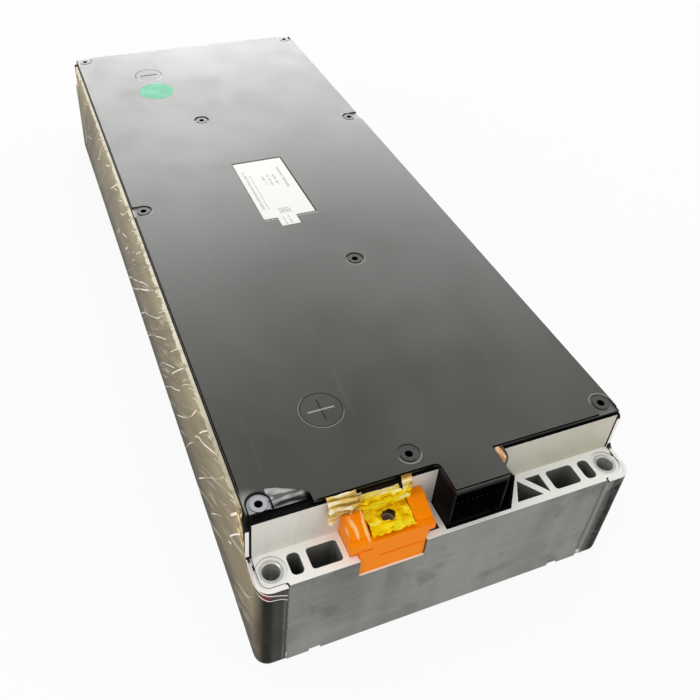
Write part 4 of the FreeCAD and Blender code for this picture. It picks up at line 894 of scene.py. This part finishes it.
def crumpled_film(name, end):
    """Film of one terminal, from the front of its block up to the cover's edge."""
    lo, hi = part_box("terminal_film_positive")
    deck = lo.z + 0.0003
    deck_top = deck + 0.0012
    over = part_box("output_busbar_positive")[1].z + 0.0006
    wall_y = -0.2779
    sill_y = -0.2752
    middle_x = -0.038
    hole = Vector((middle_x, -0.28345))
    hole_radius = 0.0038
    wing_from = 0.0122
    wing_foot = 0.0945
    tail_x = -0.0652
    tail_foot = 0.0835
    left = lo.x + 0.0155
    right = hi.x - 0.0068
    bm = bmesh.new()
    start = bm.verts.new((lo.x - 0.0005, lo.y, deck))
    stop = bm.verts.new((hi.x, lo.y, deck))
    bmesh.ops.subdivide_edges(bm, edges=[bm.edges.new((start, stop))], cuts=71)
    rail = list(bm.edges)
    for leg, count in (((0.0, wall_y - lo.y, 0.0), 24), ((0.0, 0.0, over - deck), 20),
                       ((0.0, hi.y - wall_y, hi.z - over), 10)):
        rail = push(bm, rail, Vector(leg) / count, count)

    # Cut away: beside the deck below the wings, the slits beside the tab and the hole.
    gone = []
    for face in bm.faces:
        x, y, z = face.calc_center_median()
        rag = 0.0022 * noise.noise(Vector((x * 420.0, z * 60.0, 3.0)))
        flat = z < deck_top
        wing = abs(x - middle_x) > wing_from
        hangs = x < tail_x and z > tail_foot + 4.0 * abs(rag) and not flat
        if wing and z < wing_foot + rag and not hangs:
            gone.append(face)
        elif z > over and (left - 0.0008 < x < left or right < x < right + 0.0008):
            gone.append(face)
        elif flat and (Vector((x, y)) - hole).length < hole_radius:
            gone.append(face)
    bmesh.ops.delete(bm, geom=gone, context="FACES")

    # Crumpled: low on the deck, over the sill between the slits, and most on the wings.
    for vertex in bm.verts:
        x, y, z = vertex.co
        at = Vector((x * 120.0, y * 140.0, z * 130.0))
        fold = abs(noise.noise(at)) + 0.5 * abs(noise.noise(at * 2.3))
        crest = max(0.0, 0.55 - fold)
        sway = noise.noise(at * 0.7 + Vector((5.0, 2.0, 9.0)))
        if z < deck_top:
            vertex.co.z += 0.0048 * crest
            vertex.co.x += 0.0008 * sway
            continue
        if z > over - 0.00001 and left - 0.0004 < x < right + 0.0004:
            vertex.co.z = over + 0.0012 * crest
            vertex.co.y = min(y, sill_y + 0.0006 * sway)
        else:
            vertex.co.y -= 0.0026 * crest * (1.0 if z < 0.1045 else 0.35)
        vertex.co.x += 0.0013 * sway
        if x < tail_x and z < wing_foot:
            vertex.co.y -= 0.0016 * (wing_foot - z) / (wing_foot - tail_foot)
        vertex.co.z = min(vertex.co.z, hi.z - 0.00012)
    for face in bm.faces:
        face.smooth = False
    if end > 0:
        for vertex in bm.verts:
            vertex.co.z = deck + (vertex.co.z - deck) * 0.84
        bmesh.ops.scale(bm, vec=(1.0, -1.0, 1.0), verts=bm.verts)
    bmesh.ops.recalc_face_normals(bm, faces=bm.faces)
    piece = piece_of(name, bm, yellow_film)
    wall = piece.modifiers.new("film", "SOLIDIFY")
    wall.thickness = 0.00012
    wall.offset = 0.0
    return piece


for film_name, film_end in (("positive", -1), ("negative", 1)):
    film = crumpled_film(f"crumpled_film_{film_name}", film_end)
    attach(film, "root")
    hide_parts(f"terminal_film_{film_name}")


# ---------------------------------------------------- sensing flex and header
# Copper-coloured flexible circuit with two black sensors, and the black moulded
# header that it runs to, with tinned pins painted near black as painted shade in its mouth.
flex_film, flex_tree, flex_surface = finish_slot("flex_film", Roughness=0.30, Metallic=0.2)
flex_tone_and_glint = speckle(flex_tree, stretched(flex_tree, object_place(flex_tree),
                                          (300.0, 70.0, 300.0)), 1.0, 2.0)
# The copper tone varies at random; its palest streaks are painted highlights.
give(flex_surface, "Base Color", coats(
    flex_tree, colour(0.62, 0.28, 0.10),
    (span(flex_tree, flex_tone_and_glint, 0.36, 0.48), colour(1.0, 0.60, 0.32)),
    (span(flex_tree, flex_tone_and_glint, 0.47, 0.53), colour(1.0, 0.88, 0.72))))
wear(["sense_flex"], flex_film)
wear(["temperature_sensors"], tray_black)

header_black = speckled(
    "header_black", 700.0, colour(0.0015, 0.0015, 0.0015), colour(0.004, 0.0038, 0.0035),
    grain=(0.15, 0.0002), Roughness=0.30, Specular_IOR_Level=0.02)
wear(["sense_connector"], header_black)

# Pins painted near black: painted shade inside the header's mouth.
pin_painted_shade = speckled("pin_painted_shade", 2000.0, colour(0.02, 0.02, 0.02), colour(0.05, 0.05, 0.045),
                   Metallic=1.0, Roughness=0.4)
wear(["connector_pins"], pin_painted_shade)


# ------------------------------------------------------------ cover and rivets
# Satin black moulding, handled and dusty, held by nine black push rivets. Painted
# highlights and painted shade mark its signs, its recess and the rims of its pockets.
cover_black, cover_tree, cover_surface = finish_slot("cover_black", IOR=1.36)
cover_at = object_place(cover_tree)
cover_x, cover_y, cover_z = axes_of(cover_tree, cover_at, "XYZ")
cover_out = absolute(cover_tree, cover_y)
cover_up = facing_up(cover_tree)
cover_marks = apply_effect(cover_tree, handling, {"Vector": cover_at, "Patch size": 0.11})
cover_small = apply_effect(cover_tree, handling, {"Vector": cover_at, "Patch size": 0.03})

# The plus sign near the connector end and the minus sign at the far end: a thin
# engraved ring round one bar or two. Their dark lines are painted shade. The plus sign's cross
# bar and one side of each ring are lit, as painted highlights; the minus sign's bar is wide and
# dark.
sign_x = -0.0505
sign_y = 0.2195
ring_radius = 0.01215
bar_reach = 0.0080
sign_far = distance_to(cover_tree, cover_x, cover_out, (sign_x, sign_y))
sign_near = span(cover_tree, cover_y, -0.10, -0.12)
bar_ends = box_mask(cover_tree, cover_x, sign_x, bar_reach, 0.0002)
ring_part = either(cover_tree, sign_near,
                   span(cover_tree, cover_out, sign_y - 0.0050, sign_y - 0.0005))
sign_ring = both(cover_tree, box_mask(cover_tree, sign_far, ring_radius, 0.00036, 0.00012),
                 ring_part)
sign_bar = both(cover_tree, box_mask(cover_tree, cover_out, sign_y, 0.00046, 0.00012), bar_ends)
sign_post = both(cover_tree, box_mask(cover_tree, cover_x, sign_x, 0.00042, 0.00012),
                 box_mask(cover_tree, cover_y, -sign_y, bar_reach, 0.0002))
sign_dash = both(cover_tree, box_mask(cover_tree, cover_out, sign_y, 0.00085, 0.0002), bar_ends)
sign = either(cover_tree, either(cover_tree, sign_ring, sign_post),
              both(cover_tree, sign_dash, less(cover_tree, 1.0, sign_near)))
sign = both(cover_tree, sign, cover_up)
lit_side = blend(cover_tree, sign_near, span(cover_tree, cover_y, 0.2170, 0.2120),
                 either(cover_tree, span(cover_tree, cover_y, -0.2205, -0.2265),
                        span(cover_tree, cover_x, -0.0560, -0.0600)))
sign_lit = both(cover_tree,
                box_mask(cover_tree, sign_far, ring_radius + 0.0006, 0.00026, 0.00012),
                both(cover_tree, lit_side, 0.55))
sign_lit = either(cover_tree, sign_lit, both(cover_tree, sign_bar, sign_near))

# The label's recess has painted shade at its edges and a painted highlight along the near one.
recess = both(cover_tree, box_mask(cover_tree, cover_x, -0.0018, 0.0207, 0.0001),
              box_mask(cover_tree, cover_y, 0.0018, 0.0410, 0.0001))
recess_lit = both(cover_tree, box_mask(cover_tree, cover_x, -0.0015, 0.0206, 0.0001),
                  box_mask(cover_tree, cover_y, -0.0396, 0.0004, 0.0001))

# The left rivet pad and the hollow of the relieved corner are painted pale, as painted
# reflections, with painted shade round the pad's rim and at the hollow's right end. The pocket
# floors are painted a little lighter, as painted sheen.
pad_height = 0.1068
pad_place = (-0.1025, -0.2660)
pad_sheen_tone = colour(0.44, 0.45, 0.47)
pad_floor_sheen = box_mask(cover_tree, cover_z, pad_height, 0.00015, 0.00005)
pad_far = distance_to(cover_tree, cover_x, either(cover_tree, cover_y, pad_place[1]), pad_place)
pad = both(cover_tree, pad_floor_sheen, span(cover_tree, pad_far, 0.0090, 0.0080))
pad_rim_shade = box_mask(cover_tree, pad_far, 0.00655, 0.00052, 0.00010)
scoop = both(cover_tree, box_mask(cover_tree, cover_x, -0.0866, 0.0107, 0.0001),
             span(cover_tree, cover_y, -0.2583, -0.2585))
scoop = both(cover_tree, scoop, span(cover_tree, cover_z, 0.10797, 0.10790))
scoop = both(cover_tree, scoop, span(cover_tree, cover_y, -0.26995, -0.26985))
scoop_highlight_streak = speckle(cover_tree, stretched(cover_tree, cover_at, (70.0, 260.0, 120.0)), 1.0, 1.5)
scoop_light_and_shade = coats(
    cover_tree, colour(0.05, 0.05, 0.05),
    (span(cover_tree, scoop_highlight_streak, 0.40, 0.62), colour(0.50, 0.50, 0.49)),
    (span(cover_tree, cover_x, -0.0800, -0.0770), pitch_black))

# The skirt and the outer edge are painted pitch black as painted shade, and a painted sheen lies
# as a pale haze at the left corner.
skirt_top = 0.1064
edge_x = 0.1092
cover_low = either(cover_tree, span(cover_tree, cover_z, skirt_top + 0.0003, skirt_top),
                   span(cover_tree, cover_out, 0.2690, 0.2694))
cover_skirt_shade = both(cover_tree, less(cover_tree, 1.0, cover_up), cover_low)
cover_skirt_shade = either(cover_tree, cover_skirt_shade,
                     span(cover_tree, cover_z, skirt_top, skirt_top - 0.0002))
cover_skirt_shade = either(cover_tree, cover_skirt_shade,
                     span(cover_tree, absolute(cover_tree, cover_x), edge_x, edge_x + 0.00025))
cover_corner_sheen = span(cover_tree, distance_to(cover_tree, cover_x, cover_y, (-0.1085, -0.2650)),
                  0.011, 0.001)

# Rims of six rivet pockets, lit on the side towards the connector end, or towards
# the far end where the last number is -1.
rim_radius = 0.0067
rim_lit = 0.0
for rim_x, rim_y, lit_from in (
        (0.1025, -0.2660, -1), (-0.1025, 0.0, 1), (0.1005, 0.0898, -1), (-0.0178, -0.2626, 1),
        (0.0227, -0.0998, 1), (-0.0258, 0.1208, 1)):
    rim_far = distance_to(cover_tree, cover_x, cover_y, (rim_x, rim_y))
    rim = both(cover_tree, box_mask(cover_tree, rim_far, rim_radius, 0.0003, 0.0001),
               span(cover_tree, cover_y, rim_y + 0.0005 * lit_from, rim_y - 0.0030 * lit_from))
    rim_lit = either(cover_tree, rim_lit, rim)

# Painted shade: the signs' dark lines, the recess's edges and the pad's rim.
cover_painted_shade = either(cover_tree, either(cover_tree, recess, sign), pad_rim_shade)
cover_lit = both(cover_tree, either(cover_tree, sign_lit, recess_lit), 0.55)
give(cover_surface, "Base Color", coats(
    cover_tree, colour(0.050, 0.051, 0.042),
    (cover_marks["Smudge"], colour(0.062, 0.063, 0.054)),
    (both(cover_tree, cover_marks["Scratch"], 0.06), colour(0.22, 0.22, 0.20)),
    (both(cover_tree, cover_marks["Dust"], 0.2), colour(0.35, 0.35, 0.33)),
    (cover_skirt_shade, pitch_black),
    (both(cover_tree, cover_corner_sheen, 0.62), colour(0.50, 0.50, 0.46)),
    (cover_painted_shade, pitch_black), (scoop, scoop_light_and_shade),
    (cover_lit, colour(0.62, 0.62, 0.60)),
    (both(cover_tree, rim_lit, 0.5), colour(0.50, 0.50, 0.47)),
    (pad_floor_sheen, colour(0.13, 0.13, 0.12)), (pad, pad_sheen_tone), (pad_rim_shade, pitch_black)))
give(cover_surface, "Metallic", cover_skirt_shade)
satin = 0.305
cover_rough = sum_of(cover_tree, both(cover_tree, cover_marks["Smudge"], 0.06),
                     both(cover_tree, cover_small["Smudge"], 0.05))
give(cover_surface, "Roughness", sum_of(cover_tree, sum_of(cover_tree, cover_rough, satin),
                                        both(cover_tree, cover_painted_shade, 0.5)))
cover_grain = speckle(cover_tree, cover_at, 2600.0, 2.0)
give(cover_surface, "Normal", relief(cover_tree, cover_grain, 0.12, 0.0001))
wear(["top_cover"], cover_black)

rivet_head = 0.1074
rivet_black, rivet_tree, rivet_surface = finish_slot(
    "rivet_black", Roughness=0.3, Specular_IOR_Level=0.18)
rivet_at = object_place(rivet_tree)
rivet_x, rivet_y, rivet_z = axes_of(rivet_tree, rivet_at, "XYZ")
# The left rivet's head takes the pad's painted reflection; below the head each rivet is painted
# black as painted shade.
rivet_tone = coats(
    rivet_tree, colour(0.060, 0.060, 0.055),
    (speckle(rivet_tree, rivet_at, 900.0), colour(0.095, 0.095, 0.088)),
    (span(rivet_tree, distance_to(rivet_tree, rivet_x, rivet_y, pad_place), 0.0060, 0.0055),
     pad_sheen_tone))
give(rivet_surface, "Base Color",
     blend(rivet_tree, span(rivet_tree, rivet_z, rivet_head, rivet_head + 0.00005),
           colour(0.003, 0.003, 0.003), rivet_tone))
wear(["cover_rivets"], rivet_black)


# ------------------------------------------------------------- label and dot
# White film label with plain grey bars in place of its print, and a round
# mint-green sticker.
label_film, label_tree, label_surface = finish_slot(
    "label_film", Roughness=0.4, Specular_IOR_Level=0.10)
label_at = object_place(label_tree)
label_x, label_y = axes_of(label_tree, label_at, "XY")
label_ink = 0.0
for bar_x, bar_y, bar_width, bar_length, breaks in (
        (-0.0178, 0.0010, 0.0022, 0.0560, 700.0), (-0.0142, -0.0020, 0.0010, 0.0480, 900.0),
        (-0.0050, 0.0120, 0.0020, 0.0130, 420.0), (-0.0005, 0.0120, 0.0020, 0.0150, 420.0),
        (0.0040, 0.0120, 0.0020, 0.0150, 420.0), (0.0105, 0.0140, 0.0020, 0.0300, 300.0),
        (-0.0035, -0.0300, 0.0090, 0.0065, 650.0), (-0.0075, -0.0425, 0.0012, 0.0110, 500.0),
        (-0.0035, -0.0425, 0.0012, 0.0110, 500.0)):
    bar = both(label_tree, box_mask(label_tree, label_x, bar_x, bar_width / 2, 0.0001),
               box_mask(label_tree, label_y, bar_y, bar_length / 2, 0.0001))
    printed = span(label_tree, speckle(label_tree, label_at, breaks, 1.0), 0.36, 0.48)
    label_ink = either(label_tree, label_ink, both(label_tree, bar, printed))
give(label_surface, "Base Color", coats(
    label_tree, colour(0.88, 0.88, 0.83),
    (speckle(label_tree, label_at, 400.0), colour(0.93, 0.93, 0.88)),
    (both(label_tree, label_ink, 0.55), colour(0.30, 0.30, 0.28))))
wear(["cover_label"], label_film)

dot_film, dot_tree, dot_surface = finish_slot("dot_film", Roughness=0.35, Specular_IOR_Level=0.05)
dot_noise = speckle(dot_tree, object_place(dot_tree), 90.0)
give(dot_surface, "Base Color", blend(
    dot_tree, span(dot_tree, dot_noise, 0.4, 0.6), colour(0.08, 0.50, 0.27),
    colour(0.11, 0.57, 0.34)))
wear(["inspection_dot"], dot_film)
